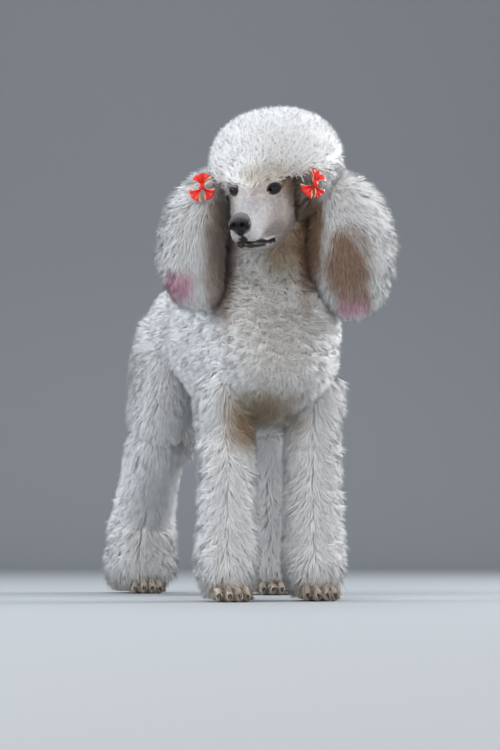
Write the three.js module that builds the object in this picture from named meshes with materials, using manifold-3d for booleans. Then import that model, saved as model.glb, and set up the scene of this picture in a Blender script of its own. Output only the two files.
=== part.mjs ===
// A standard poodle standing at ease, life size, in millimetres with +Z up.
// It faces -Y, and +X is its left side. The coat is clipped short on the body and left full on the legs,
// topknot, ears and tail; the face and toes are bare. A ribbon bow is tied at the root of each ear.
import * as THREE from "three";
import { mergeVertices } from "three/addons/utils/BufferGeometryUtils.js";
import Module from "manifold-3d";

const wasm = await Module();
wasm.setup();
const { Manifold } = wasm;

// Driving dimensions, out to the tips of the coat
const backHeight = 578; // floor to the back
const brisketHeight = 266; // floor to the chest
const tuckHeight = 348; // floor to the loin
const chestHalf = 122; // centre line to the ribs
const hipHalf = 123;
const chestFront = -128; // the forelegs stand near Y 0
const rumpBack = 556;
const foreSpread = 71; // centre line to the middle of a foreleg
const hindSpread = 99;
const foreRadius = 53;
const hindRadius = 62;
const foreStep = { left: 8, right: -12 }; // Y of each forefoot
const hindStep = { left: 428, right: 602 };
const stifleY = { left: 398, right: 486 };

// Head: midway between the eyes, and how it is turned.
const eyeCentre = [-61, -162, 626];
const headYaw = THREE.MathUtils.degToRad(-27); // towards the dog's right
const headPitch = THREE.MathUtils.degToRad(22.5); // nose down
const eyeSpread = 28;
const eyeRadius = 10.5;
const muzzleReach = 112; // eyes to the front of the upper lip
const topknotRadius = 106;

// Coat: how far each core lies under the tips, and the usual spacing of its clumps.
const bodyDrop = 15;
const neckDrop = 17;
const legDrop = 17;
const tailDrop = 13;
const topknotDrop = 27;
const earDrop = 27;
const bodyPitch = 112;
const neckPitch = 92;
const thighPitch = 120;
const forePitch = 90;
const shankPitch = 102;
const tailPitch = 60;
const topknotPitch = 92;
const clumpSides = 6;
const clumpOverlap = 1.38; // width of a clump over its share of the row
const gap = 0.4; // between the faces of two touching pieces

const v3 = (x, y, z) => new THREE.Vector3(x, y, z);
const sides = { left: 1, right: -1 };
const fullTurn = 2 * Math.PI;

// Seeded variation, so that the coat is the same each time.
let seed = 11;
function random() {
  seed = (seed + 0x6d2b79f5) | 0;
  let t = Math.imul(seed ^ (seed >>> 15), 1 | seed);
  t = (t + Math.imul(t ^ (t >>> 7), 61 | t)) ^ t;
  return ((t ^ (t >>> 14)) >>> 0) / 4294967296;
}
const spread = (amount) => (random() * 2 - 1) * amount;

// A closed three.js geometry as a solid for joining and cutting.
function solid(geometry) {
  const bare = new THREE.BufferGeometry().setAttribute("position", geometry.getAttribute("position"));
  const merged = mergeVertices(bare.setIndex(geometry.index), 1e-3);
  const corners = merged.index.array;
  const kept = [];
  for (let i = 0; i < corners.length; i += 3) {
    const [a, b, c] = corners.subarray(i, i + 3);
    if (a !== b && b !== c && a !== c) kept.push(a, b, c);
  }
  const build = (triangles) =>
    new Manifold(
      new wasm.Mesh({
        numProp: 3,
        vertProperties: new Float32Array(merged.attributes.position.array),
        triVerts: new Uint32Array(triangles),
      }),
    );
  const made = build(kept);
  return made.volume() > 0 ? made : build(kept.reverse());
}

// Moves each vertex of a geometry to where `place` puts it, and makes a solid of the result.
function shaped(geometry, place) {
  const spots = geometry.getAttribute("position");
  for (let i = 0; i < spots.count; i++) {
    const p = place(spots.getX(i), spots.getY(i), spots.getZ(i));
    spots.setXYZ(i, p.x, p.y, p.z);
  }
  return solid(geometry);
}

const join = (pieces) => Manifold.union(pieces.flat(Infinity));
const moved = (piece, matrix) => piece.transform(matrix.elements);

// The largest closed surface, which drops loose scraps and fills sealed hollows.
function largest(piece) {
  return piece.decompose().reduce((best, next) => (next.volume() > best.volume() ? next : best));
}

// A rounded tube through stations of [x, y, z, half width, half depth]; the width is measured along `side`.
class Form {
  constructor(stations, { side = v3(1, 0, 0), cap = 0.1, square = 1 } = {}) {
    this.path = new THREE.CatmullRomCurve3(stations.map(([x, y, z]) => v3(x, y, z)), false, "catmullrom");
    this.girth = new THREE.CatmullRomCurve3(stations.map((s) => v3(s[3], s[4], 0)), false, "catmullrom");
    this.side = side;
    this.cap = cap; // share of the length that each round end takes
    this.square = square; // under 1 fills the corners of the section
    this.long = this.path.getLength();
  }

  // How far an end's rounding has closed the section: 1 along the middle, 0 at the very end.
  rounding(v) {
    const near = Math.min(1, Math.max(0, Math.min(v, 1 - v)) / this.cap);
    return Math.sqrt(1 - (1 - near) ** 2);
  }

  // The point at angle u, a share of a turn, and at v, a share of the length; `grow` moves it outwards.
  point(u, v, grow = 0, round = this.rounding(v)) {
    const at = Math.min(1, Math.max(0, v));
    const along = this.path.getTangent(at);
    const across = this.side.clone().addScaledVector(along, -this.side.dot(along)).normalize();
    const deep = along.clone().cross(across);
    const girth = this.girth.getPoint(at);
    const fill = (share) => Math.sign(share) * Math.abs(share) ** this.square;
    const end = (v < 0.5 ? -grow : grow) * (1 - round);
    return this.path
      .getPoint(at)
      .addScaledVector(along, end)
      .addScaledVector(across, fill(Math.cos(u * fullTurn)) * Math.max(0.5, girth.x + grow) * round)
      .addScaledVector(deep, fill(Math.sin(u * fullTurn)) * Math.max(0.5, girth.y + grow) * round);
  }

  around(v) {
    const girth = this.girth.getPoint(Math.min(1, Math.max(0, v)));
    return Math.PI * (girth.x + girth.y) * this.rounding(v);
  }

  // The form as a solid of few sides: `grow` larger all round, and `reach` of its length long.
  solid(around, rings, grow = 0, reach = 1) {
    return shaped(new THREE.SphereGeometry(1, around, rings), (x, y, z) => {
      const share = (1 - y) / 2;
      return this.point(Math.atan2(z, x) / fullTurn, share * reach, grow, this.rounding(share));
    });
  }
}

// A clump of curls: a dome on the form's surface, its root sunk in the core.
const domeProfile = [[0, -1], [1, -0.25], [0.66, 0.76], [0, 1]].map(([x, y]) => new THREE.Vector2(x, y));
function clump(form, { u, v, wide, long, tall, lean, turn }, drop, grow = 0) {
  const shareRound = (wide / 2 + grow) / form.around(v);
  const shareLong = (long / 2 + grow) / form.long;
  const dome = new THREE.LatheGeometry(domeProfile, clumpSides, turn);
  return shaped(dome, (x, y, z) => {
    const height = y > 0 ? y * (tall + grow) : y * drop * 0.8;
    const slide = y > 0 ? lean * y * y * shareLong : 0;
    return form.point(u + x * shareRound, v + z * shareLong + slide, height - drop);
  });
}

// Rows of clumps over a form, offset like bricks. `rows` is [from, to] along it.
function fleece(form, { rows, pitch, drop, stretch = 1, lean = 0.5, keep = () => true }) {
  const specs = [];
  const [from, to] = rows;
  const rowCount = Math.max(1, Math.round(((to - from) * form.long) / (pitch * stretch)));
  for (let row = 0; row < rowCount; row++) {
    const v = from + ((row + 0.5) / rowCount) * (to - from);
    const count = Math.max(3, Math.round(form.around(v) / pitch));
    for (let i = 0; i < count; i++) {
      const wide = form.around(v) / count;
      const crown = (0.26 * wide) / count; // fills out a wide clump on a tight curve
      const spec = {
        u: (i + (row % 2) / 2 + spread(0.06)) / count,
        v: v + (spread(0.05) * pitch * stretch) / form.long,
        wide: wide * (clumpOverlap + spread(0.06)),
        long: (((to - from) * form.long) / rowCount) * (clumpOverlap + spread(0.08)),
        tall: drop * (0.97 + spread(0.1)) + crown,
        lean: lean + spread(0.15),
        turn: spread(0.3),
      };
      if (keep(form.point(spec.u, spec.v))) specs.push(spec);
    }
  }
  return (grow = 0) => specs.map((spec) => clump(form, spec, drop, grow));
}

// A lock: flat and drawn to a tip, rooted in the core and rising to the coat's outline.
function lock(form, { u, v, long, wide, thick, lift, sway }, drop) {
  return shaped(new THREE.SphereGeometry(1, 4, 4), (x, y, z) => {
    const t = (1 - y) / 2; // root to tip
    const round = Math.sqrt(Math.max(0, 1 - y * y)) || 1;
    const taper = Math.min(1, 0.45 + 2.2 * t) * (1 - 0.75 * t ** 3);
    const at = v + t * long;
    const rise = -drop - 7 + (drop + 7 + lift) * Math.sin(Math.min(1, t * 1.25) * Math.PI * 0.5);
    const share = ((x * wide * 0.5) / Math.max(80, form.around(Math.min(0.9, at)))) * taper;
    return form.point(u + share + sway * t * t, at, rise + z * thick * 0.5 * taper * Math.max(0.4, round));
  });
}

// Tiers of locks down a form.
function locks(form, { tiers, count, drop, from, to, long, thick }) {
  const specs = [];
  for (let tier = 0; tier < tiers; tier++) {
    const v = from + (tier / (tiers - 1)) * (to - from);
    for (let i = 0; i < count; i++) {
      specs.push({
        u: (i + (tier % 2) / 2 + spread(0.1)) / count,
        v: v + spread(0.015),
        long: long * (1 + spread(0.08)),
        wide: (form.around(Math.min(0.8, v + long / 2)) / count) * (1.3 + spread(0.1)),
        thick: thick * (1 + spread(0.12)),
        lift: spread(2),
        sway: spread(0.02),
      });
    }
  }
  return specs.map((spec) => lock(form, spec, drop));
}

function ellipsoid([x, y, z], [rx, ry, rz], around = 16, rings = 10, turn = [0, 0, 0]) {
  const geometry = new THREE.SphereGeometry(1, around, rings);
  geometry.scale(rx, ry, rz);
  geometry.applyMatrix4(new THREE.Matrix4().makeRotationFromEuler(new THREE.Euler(...turn)));
  geometry.translate(x, y, z);
  return solid(geometry);
}

// A box as a cutter: centre, size and turn in radians.
function slab([x, y, z], size, turn = [0, 0, 0]) {
  const geometry = new THREE.BoxGeometry(...size);
  geometry.applyMatrix4(new THREE.Matrix4().makeRotationFromEuler(new THREE.Euler(...turn)));
  geometry.translate(x, y, z);
  return solid(geometry);
}

// Parts a piece along a box: what lies inside it, and the rest, with a thin cut between the two.
function part(piece, at, size, turn) {
  const inside = largest(piece.intersect(slab(at, size, turn)));
  const outside = piece.subtract(slab(at, size.map((edge) => edge + 2 * gap), turn));
  return [inside, largest(outside)];
}

// The head's own frame has its origin between the eyes, -Y along the muzzle and +Z out of the brow.
const headMatrix = new THREE.Matrix4()
  .makeTranslation(...eyeCentre)
  .multiply(new THREE.Matrix4().makeRotationZ(headYaw))
  .multiply(new THREE.Matrix4().makeRotationX(headPitch));

const skull = new Form([
  [0, 128, 2, 30, 30],
  [0, 95, 8, 47, 47],
  [0, 50, 4, 49, 52],
  [0, 14, -8, 41, 40],
  [0, -8, -18, 31, 31],
], { cap: 0.16 });

const upperMuzzle = new Form([
  [0, 30, -22, 33, 34],
  [0, -12, -25, 26.5, 31],
  [0, -54, -32, 21.5, 25],
  [0, -92, -37, 18.5, 20],
  [0, -muzzleReach, -39, 16, 16],
], { cap: 0.14 });

const lowerJaw = new Form([
  [0, 34, -68, 28, 20],
  [0, -8, -70, 23, 15],
  [0, -50, -66, 18, 11.5],
  [0, -86, -61, 14.5, 9.5],
  [0, -100, -57, 10, 7],
], { cap: 0.12 });

const throat = new Form([
  [0, 10, -62, 28, 28],
  [0, 48, -52, 38, 42],
  [0, 92, -32, 44, 46],
  [0, 124, -15, 36, 36],
], { cap: 0.2 });

const mouthCorner = [26, -26, -64];
const lipFront = -50; // height of the lips at the front
const noseDrop = -27; // height of the nose leather's middle

function lidRing(side) {
  const ring = new THREE.TorusGeometry(9.6, 2.9, 5, 10);
  ring.scale(1.12, 0.84, 1);
  const aim = new THREE.Euler(Math.PI / 2 - 0.1, 0, side * 0.55, "ZXY");
  ring.applyMatrix4(new THREE.Matrix4().makeRotationFromEuler(aim));
  ring.translate(side * (eyeSpread + 2), -8.5, 0);
  return solid(ring);
}

// The line of the mouth: a low ridge of lip from one corner round the front to the other.
function lipLine() {
  const [x, y, z] = mouthCorner;
  const half = [
    [x, y, z, 3.4, 3],
    [21.5, -56, -57, 3.4, 3],
    [16.5, -88, -52, 3.4, 3],
  ];
  const mirrored = half.map(([px, ...others]) => [-px, ...others]).reverse();
  const front = [0, -muzzleReach + 8, lipFront, 3.6, 3];
  return new Form([...half, front, ...mirrored], { side: v3(0, 0, 1), cap: 0.05 }).solid(4, 12);
}

const eyeBall = (side, radius) => ellipsoid([side * eyeSpread, -3, 0], [radius, radius, radius], 10, 7);

const leather = (grow) => join([
  ellipsoid([0, -muzzleReach - 7, noseDrop], [16.5 + grow, 12 + grow, 12 + grow], 9, 6),
  ellipsoid([0, -muzzleReach - 3, noseDrop - 11], [9 + grow, 8 + grow, 12 + grow], 6, 4),
]);

function headParts() {
  const eyes = {};
  const face = [
    skull.solid(12, 8),
    upperMuzzle.solid(12, 8),
    throat.solid(10, 6),
    ellipsoid([0, 4, 10], [17, 26, 16], 8, 6), // stop and brow
  ];
  for (const [name, side] of Object.entries(sides)) {
    eyes[name] = eyeBall(side, eyeRadius);
    face.push(lidRing(side));
    face.push(ellipsoid([side * 29, 36, -38], [19, 38, 32], 8, 6)); // cheek
    face.push(ellipsoid([side * 25, 8, 14], [14, 16, 8], 6, 5, [0, side * 0.5, 0])); // brow ridge
    face.push(ellipsoid([side * 11, -90, -43], [10, 22, 14], 7, 5)); // upper lip
  }
  const nostrilY = -muzzleReach - 18;
  const nostrils = [1, -1].map((side) =>
    ellipsoid([side * 9, nostrilY, noseDrop - 1], [4.2, 9, 3.4], 5, 4, [0, side * -0.5, side * 0.45]),
  );
  const nose = leather(0).subtract(join(nostrils));
  let head = join(face).subtract(leather(gap));
  for (const side of [1, -1]) head = head.subtract(eyeBall(side, eyeRadius + gap));
  // The jaw is the front of the lower muzzle, as far back as the corner of the mouth.
  const mouthBack = -10;
  const lips = lipLine();
  const jaw = join([lowerJaw.solid(10, 7), lips]);
  const jawRoom = join([lowerJaw.solid(10, 7, gap), lips]);
  const jawFront = jaw.intersect(slab([0, mouthBack - 60, -50], [80, 120, 70]));
  const jawGap = jawRoom.intersect(slab([0, mouthBack - 60 + gap, -50], [90, 120, 80]));
  const jawBack = jaw.intersect(slab([0, mouthBack + 40 + gap, -50], [80, 80, 90]));
  head = join([head, jawBack]).subtract(jawGap);
  return { head: largest(head), jaw: largest(jawFront.subtract(head)), nose: largest(nose), eyes };
}

// Body: each form is the coat's own outline.
const backMiddle = (backHeight + brisketHeight) / 2;
const loinMiddle = (backHeight + tuckHeight) / 2;
const torso = new Form([
  [0, chestFront, 402, 40, 40],
  [0, -92, 398, 82, 92],
  [0, -40, 408, 106, 132],
  [0, 40, backMiddle, chestHalf - 2, backHeight - backMiddle],
  [0, 130, backMiddle + 8, chestHalf, backHeight - backMiddle - 8],
  [0, 230, loinMiddle - 14, chestHalf - 3, backHeight - loinMiddle + 12],
  [0, 330, loinMiddle + 3, hipHalf - 7, backHeight - loinMiddle - 4],
  [0, 420, loinMiddle + 3, hipHalf, backHeight - loinMiddle],
  [0, 500, loinMiddle - 2, hipHalf - 8, backHeight - loinMiddle - 4],
  [0, rumpBack, loinMiddle - 12, 60, 60],
], { cap: 0.06, square: 0.84 });

const neck = new Form([
  [-18, -78, 662, 56, 60],
  [-12, -60, 612, 68, 74],
  [-5, -30, 552, 84, 94],
  [0, 8, 496, 101, 112],
  [0, 50, 446, 104, 112],
], { cap: 0.12 });

function foreleg(name) {
  const side = sides[name];
  const x = side * foreSpread;
  const y = foreStep[name];
  return new Form([
    [x - side * 4, 4, 400, 46, 62],
    [x + side * 2, 4, 330, foreRadius, foreRadius + 10],
    [x, 4, 270, foreRadius - 2, foreRadius + 2],
    [x, y, 190, foreRadius - 2, foreRadius - 1],
    [x + side, y, 110, foreRadius, foreRadius],
    [x + side * 2, y, 60, foreRadius + 1, foreRadius + 2],
    [x + side * 2, y, 15, foreRadius - 12, foreRadius - 10],
  ], { cap: 0.08 });
}

function thigh(name) {
  const side = sides[name];
  const y = stifleY[name];
  return new Form([
    [side * 64, 452, 490, 50, 78],
    [side * 78, (452 + y) / 2, 436, 66, 104],
    [side * 94, y * 0.5 + 222, 350, 60, 94],
    [side * 97, y, 282, 55, 76],
  ], { cap: 0.16 });
}

function shank(name) {
  const side = sides[name];
  const y = hindStep[name];
  const stifle = stifleY[name];
  return new Form([
    [side * 94, stifle - 6, 320, 52, 76],
    [side * 97, stifle + 14, 268, 55, 70],
    [side * (hindSpread - 2), (stifle + y) / 2 + 8, 208, 56, 68],
    [side * hindSpread, y - 6, 150, hindRadius - 2, hindRadius + 10],
    [side * (hindSpread + 3), y, 92, hindRadius + 6, hindRadius + 12],
    [side * (hindSpread + 5), y, 50, hindRadius + 8, hindRadius + 10],
    [side * (hindSpread + 2), y - 4, 15, hindRadius - 12, hindRadius - 8],
  ], { cap: 0.07 });
}

const tail = new Form([
  [0, 520, 538, 24, 24],
  [-2, 566, 520, 24, 24],
  [-6, 594, 462, 28, 30],
  [-14, 604, 380, 30, 34],
  [-20, 606, 310, 29, 32],
  [-22, 604, 262, 18, 18],
], { cap: 0.08 });

// The topknot is built in the head's frame, and stands a little fuller on the left.
const topknotCentre = [11, 103, 13];
const topknotHeight = topknotRadius * 0.82;
const topknot = new Form([
  [...topknotCentre.with(2, topknotCentre[2] - topknotHeight), topknotRadius, topknotRadius * 1.04],
  [...topknotCentre.with(2, topknotCentre[2] + topknotHeight), topknotRadius, topknotRadius * 1.04],
], { cap: 0.5 });
const browHeight = 14; // the clipped face ends here above the eyes,
const templeBack = 45; // and here behind them

// Ears: the outline of the brushed-out hair that hangs from each ear.
const ears = {
  left: new Form([
    [56, -122, 658, 28, 30],
    [76, -118, 632, 52, 44],
    [94, -112, 598, 67, 56],
    [103, -108, 553, 74, 60],
    [107, -106, 505, 66, 54],
    [107, -104, 440, 40, 36],
  ], { cap: 0.14 }),
  right: new Form([
    [-98, -76, 668, 24, 28],
    [-112, -70, 642, 40, 40],
    [-130, -62, 602, 51, 54],
    [-139, -58, 553, 55, 58],
    [-136, -56, 508, 51, 52],
    [-118, -56, 456, 36, 34],
  ], { cap: 0.14 }),
};

// Paw: four toes and a heel under the leg's coat. Its own origin is on the floor under the leg.
const toeCount = 4;
const toePitch = 13.5;
const pawHeight = 46;
const toeMiddle = (toeCount - 1) / 2;
const toePlace = (i) => ({ x: (i - toeMiddle) * toePitch, reach: Math.abs(i - toeMiddle) < 1 ? 52 : 42 });

function toeForm(i, scale) {
  const { x, reach } = toePlace(i);
  return new Form([
    [x * scale * 0.8, 4, 26, 9, 12],
    [x * scale, -reach * scale * 0.55, 19, 8.5, 13],
    [x * scale * 1.1, -reach * scale, 10, 7.5, 9.5],
  ], { cap: 0.25 });
}

function clawForm(i, scale) {
  const { x, reach } = toePlace(i);
  const tip = reach * scale;
  return new Form([
    [x * scale * 1.12, -tip + 5, 11, 3, 3.6],
    [x * scale * 1.12, -tip - 6, 9, 2.6, 3.2],
    [x * scale * 1.12, -tip - 14, 3.5, 1, 1.2],
  ], { cap: 0.3 });
}

function pawParts(scale) {
  const claws = [];
  const rooms = [];
  const flesh = [ellipsoid([0, -4, 20], [30 * scale, 33 * scale, 26], 8, 5)];
  for (let i = 0; i < toeCount; i++) {
    flesh.push(toeForm(i, scale).solid(6, 3));
    claws.push(clawForm(i, scale).solid(4, 3));
    rooms.push(clawForm(i, scale).solid(4, 3, gap));
  }
  const paw = join(flesh).trimByPlane([0, 0, 1], 0).trimByPlane([0, 0, -1], -pawHeight);
  const hollow = ellipsoid([0, -8, 16], [36 * scale, 44 * scale, 46], 8, 6); // in the coat round the foot
  const room = hollow.trimByPlane([0, 0, -1], -pawHeight - gap);
  return { paw: largest(paw.subtract(join(rooms))), claws, room };
}

// Bow: ribbon loops round a knot. Its own frame has +Z out of the hair.
const loopAngles = [0.5, 2.2, 3.7, 5.5];
function bowParts() {
  const loops = loopAngles.map((angle, i) => {
    const reach = i % 2 ? 20 : 23;
    const far = v3(Math.cos(angle), Math.sin(angle), 0);
    const at = (share, lift) => [far.x * reach * share, far.y * reach * share, lift];
    return new Form([
      [...at(-0.12, 3), 4, 3],
      [...at(0.5, 6), 8, 4.5],
      [...at(1, 6), 12.5, 5],
    ], { side: v3(-far.y, far.x, 0), cap: 0.3 }).solid(5, 4);
  });
  const knotOf = (grow) => ellipsoid([0, 0, 10], [5.5 + grow, 7 + grow, 5 + grow], 6, 4);
  return { loops: largest(join(loops).subtract(knotOf(gap))), knot: knotOf(0) };
}

const meshes = new THREE.Group();
const finishes = {
  coat: new THREE.MeshStandardMaterial({ color: 0xf1efec, roughness: 0.9, metalness: 0 }),
  face: new THREE.MeshStandardMaterial({ color: 0xd9cfc8, roughness: 0.8, metalness: 0 }),
  leather: new THREE.MeshStandardMaterial({ color: 0x1c1618, roughness: 0.35, metalness: 0 }),
  eye: new THREE.MeshStandardMaterial({ color: 0x120c0a, roughness: 0.08, metalness: 0 }),
  claw: new THREE.MeshStandardMaterial({ color: 0x2a2326, roughness: 0.4, metalness: 0 }),
  ribbon: new THREE.MeshStandardMaterial({ color: 0xd8140c, roughness: 0.45, metalness: 0 }),
};

function add(name, piece, finish) {
  const mesh = piece.getMesh();
  const spots = new Float32Array(mesh.numVert * 3);
  for (let i = 0; i < mesh.numVert; i++) {
    spots.set(mesh.vertProperties.subarray(i * mesh.numProp, i * mesh.numProp + 3), i * 3);
  }
  const geometry = new THREE.BufferGeometry().setAttribute("position", new THREE.BufferAttribute(spots, 3));
  geometry.setIndex(new THREE.BufferAttribute(mesh.triVerts, 1));
  const made = new THREE.Mesh(geometry, finishes[finish].clone());
  made.name = name;
  meshes.add(made);
}

const { head, jaw, nose, eyes } = headParts();
const placedHead = moved(head, headMatrix);
const headRoom = join([
  placedHead,
  moved(skull.solid(12, 8, gap), headMatrix),
  moved(throat.solid(10, 6, gap), headMatrix),
]);

// The coat of the body: cores, and the clumps that grow on them.
const legs = Object.keys(sides).map((name) => ({
  side: sides[name], foreleg: foreleg(name), thigh: thigh(name), shank: shank(name),
}));
const onForeleg = (p) => Math.abs(p.x) > 62 && p.z < 350 && Math.abs(p.y + 10) < 62;
const onThigh = (p) => Math.abs(p.x) > 60 && p.z < 430 && p.y > 370;
const underNeck = (p) => p.y < 30 && p.z > 500;
const torsoClumps = fleece(torso, {
  rows: [0.035, 0.97], pitch: bodyPitch, drop: bodyDrop, lean: 0.45,
  keep: (p) => !onForeleg(p) && !onThigh(p) && !underNeck(p),
});
const underJaw = (p) => p.z > 585 && p.y < -90; // bare
const neckClumps = fleece(neck, {
  rows: [0.1, 0.82], pitch: neckPitch, drop: neckDrop, lean: 0.5, keep: (p) => !underJaw(p) && p.z > 455,
});
const upper = (grow) => join([
  torso.solid(10, 8, grow - bodyDrop),
  neck.solid(8, 5, grow - neckDrop),
  torsoClumps(grow),
  neckClumps(grow),
]);
const lower = legs.map(({ side, foreleg: fore, thigh: ham, shank: hind }) => [
  fore.solid(6, 6, -legDrop),
  ham.solid(8, 5, -bodyDrop),
  hind.solid(7, 6, -legDrop),
  fleece(fore, { rows: [0.27, 0.99], pitch: forePitch, stretch: 1.15, drop: legDrop, lean: 0.7 })(),
  fleece(ham, {
    rows: [0.3, 1], pitch: thighPitch, drop: bodyDrop, keep: (p) => p.x * side > 58 || p.z < 330,
  })(),
  fleece(hind, { rows: [0.12, 0.99], pitch: shankPitch, stretch: 1.1, drop: legDrop, lean: 0.7 })(),
]);
const tailHair = [
  tail.solid(6, 5, -tailDrop),
  fleece(tail, { rows: [0.2, 0.99], pitch: tailPitch, stretch: 1.4, drop: tailDrop, lean: 0.7 })(),
];
let rest = join([upper(0), lower, tailHair]).subtract(headRoom);
const bodyRoom = join([upper(0), upper(gap)]);

// Parting cuts: each foreleg, shank and thigh, then the tail and the neck.
let cut;
for (const [name, side] of Object.entries(sides)) {
  const feet = [
    ["fore", pawParts(1), [side * (foreSpread + 2), foreStep[name] - 2, 0]],
    ["hind", pawParts(1.05), [side * (hindSpread + 2), hindStep[name] - 10, 0]],
  ];
  for (const [end, { paw, claws, room }, at] of feet) {
    add(`${end}paw_${name}`, paw.translate(at), "face");
    claws.forEach((claw, i) => add(`${end}claw_${name}_${i + 1}`, claw.translate(at), "claw"));
    rest = rest.subtract(room.translate(at));
  }
  [cut, rest] = part(rest, [side * 140, 0, 140], [260, 300, 300], [0, side * -0.42, 0]);
  add(`foreleg_${name}`, cut, "coat");
  [cut, rest] = part(rest, [side * 150, 560, 100], [250, 420, 360], [0.25, 0, 0]);
  add(`shank_${name}`, cut, "coat");
  [cut, rest] = part(rest, [side * 152, 470, 290], [280, 330, 240], [0, side * -0.42, 0]);
  add(`thigh_${name}`, cut, "coat");
}
[cut, rest] = part(rest, [0, 640, 400], [110, 160, 360], [0, 0, 0]);
add("tail", cut, "coat");
[cut, rest] = part(rest, [0, -200, 700], [400, 460, 400], [Math.atan(0.75), 0, 0]);
add("neck", cut, "coat");
add("torso", rest, "coat");

add("head", placedHead, "face");
add("jaw", moved(jaw, headMatrix), "face");
add("nose", moved(nose, headMatrix), "leather");
for (const name of Object.keys(sides)) add(`eye_${name}`, moved(eyes[name], headMatrix), "eye");

const bareFace = moved(slab([0, templeBack - 115, browHeight - 101], [320, 230, 202]), headMatrix);
const topknotClumps = fleece(topknot, {
  rows: [0.2, 0.93], pitch: topknotPitch, stretch: 0.9, drop: topknotDrop, lean: 0,
  keep: (p) => p.y > templeBack || p.z > browHeight - 20,
});
const crownDeep = topknotDrop * 1.4;
const crownAt = topknotCentre.with(2, topknotCentre[2] + topknotHeight - crownDeep);
const topknotPieces = (grow) => join([
  topknot.solid(9, 6, grow - topknotDrop),
  topknotClumps(grow),
  ellipsoid(crownAt, [35 + grow, 35 + grow, crownDeep + grow], 6, 5),
]);
const hairRoom = join([headRoom, bodyRoom]);
const topknotRoom = moved(topknotPieces(gap), headMatrix).subtract(bareFace);
add("topknot", largest(moved(topknotPieces(0), headMatrix).subtract(join([hairRoom, bareFace]))), "coat");

const bowSpots = { left: [21, -184, 631], right: [-133, -122, 631] };
const bowTurn = { left: 0.3, right: -0.6 };
const earCups = { left: [30, -92, 598], right: [-104, -36, 604] }; // the hollow behind the cheek
for (const name of Object.keys(sides)) {
  const at = new THREE.Matrix4()
    .makeTranslation(...bowSpots[name])
    .multiply(new THREE.Matrix4().makeRotationZ(bowTurn[name]))
    .multiply(new THREE.Matrix4().makeRotationX(Math.PI / 2));
  const { loops, knot } = bowParts();
  const ear = ears[name];
  const hair = join([
    ear.solid(8, 7, -earDrop, 0.84),
    locks(ear, { tiers: 3, count: 6, drop: earDrop, from: 0.02, to: 0.56, long: 0.43, thick: 17 }),
  ]);
  const cup = ellipsoid(earCups[name], [12, 17, 24], 7, 5);
  const bowRoom = moved(join([loops, knot]).scale([1.02, 1.02, 1.02]), at);
  const clear = join([hairRoom, topknotRoom, bowRoom, cup]);
  add(`ear_${name}`, largest(hair.subtract(clear)), "coat");
  add(`bow_${name}`, moved(loops, at), "ribbon");
  add(`knot_${name}`, moved(knot, at), "ribbon");
}

// The origin is on the floor under the middle of the whole dog.
const extent = new THREE.Box3().setFromObject(meshes);
const middle = extent.getCenter(v3(0, 0, 0));
meshes.position.set(-middle.x, -middle.y, -extent.min.z);

export default meshes;
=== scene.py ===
import math
import time

import bpy
import numpy as np
from mathutils import Matrix, Vector
from mathutils.kdtree import KDTree


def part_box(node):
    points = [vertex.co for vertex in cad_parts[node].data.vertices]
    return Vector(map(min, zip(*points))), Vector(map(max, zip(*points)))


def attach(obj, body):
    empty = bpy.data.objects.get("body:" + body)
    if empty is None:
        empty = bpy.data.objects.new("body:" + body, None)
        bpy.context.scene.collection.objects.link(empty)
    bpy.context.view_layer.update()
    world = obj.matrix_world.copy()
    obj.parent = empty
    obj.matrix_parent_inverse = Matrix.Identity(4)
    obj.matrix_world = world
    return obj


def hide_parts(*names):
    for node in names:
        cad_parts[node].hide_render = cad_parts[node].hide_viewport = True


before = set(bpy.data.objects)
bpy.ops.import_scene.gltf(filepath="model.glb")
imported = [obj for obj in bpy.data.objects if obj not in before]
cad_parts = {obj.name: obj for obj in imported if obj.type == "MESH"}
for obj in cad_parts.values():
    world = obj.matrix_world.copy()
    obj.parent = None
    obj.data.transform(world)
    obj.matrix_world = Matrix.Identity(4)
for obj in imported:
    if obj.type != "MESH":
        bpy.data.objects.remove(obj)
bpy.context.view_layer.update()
startTime = time.time()
rng = np.random.default_rng(7)


def say(text):
    print(f"[{time.time() - startTime:6.1f} s] {text}", flush=True)


# The dog's own frame is in millimetres: origin on the floor between the forefeet, facing -Y, +X its left.
headPose = {"eyeCentre": (-61, -162, 626), "yaw": -27, "pitch": 22.5, "eyeY": -3}
sides = {"left": 1, "right": -1}


def headMatrix():
    yaw = Matrix.Rotation(math.radians(headPose["yaw"]), 4, "Z")
    pitch = Matrix.Rotation(math.radians(headPose["pitch"]), 4, "X")
    return Matrix.Translation(headPose["eyeCentre"]) @ yaw @ pitch


headToDog = np.array(headMatrix())


def midOf(node):
    low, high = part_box(node)
    return (np.array(low) + np.array(high)) / 2


def onHead(points):
    points = np.asarray(points, float)
    return points @ headToDog[:3, :3].T + headToDog[:3, 3]


def inHeadFrame(points):
    return (points - headToDog[:3, 3]) @ headToDog[:3, :3]


# The two eyes place the dog's frame in the row frame.
eyesMiddle = (midOf("eye_left") + midOf("eye_right")) / 2
shift = eyesMiddle - onHead((0, headPose["eyeY"], 0)) * 0.001


def toRow(points):
    return np.asarray(points, float) * 0.001 + shift


def unit(v):
    return v / np.maximum(np.linalg.norm(v, axis=-1, keepdims=True), 1e-9)


def smooth(low, high, x):
    t = np.clip((x - low) / (high - low), 0, 1)
    return t * t * (3 - 2 * t)


# Smooth noise in space, from sines at odd angles; about -1 to 1.
waveAxes = unit(rng.normal(size=(24, 3)))
wavePhases = rng.uniform(0, 6.28, 24)


def noise(points, size, start=0):
    total = np.zeros(len(points))
    for i in range(6):
        k = (start + i * 5) % 24
        total += np.sin(points @ waveAxes[k] * (6.28 / size) * (0.7 + 0.13 * i) + wavePhases[k])
    return total / 3.2


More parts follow.
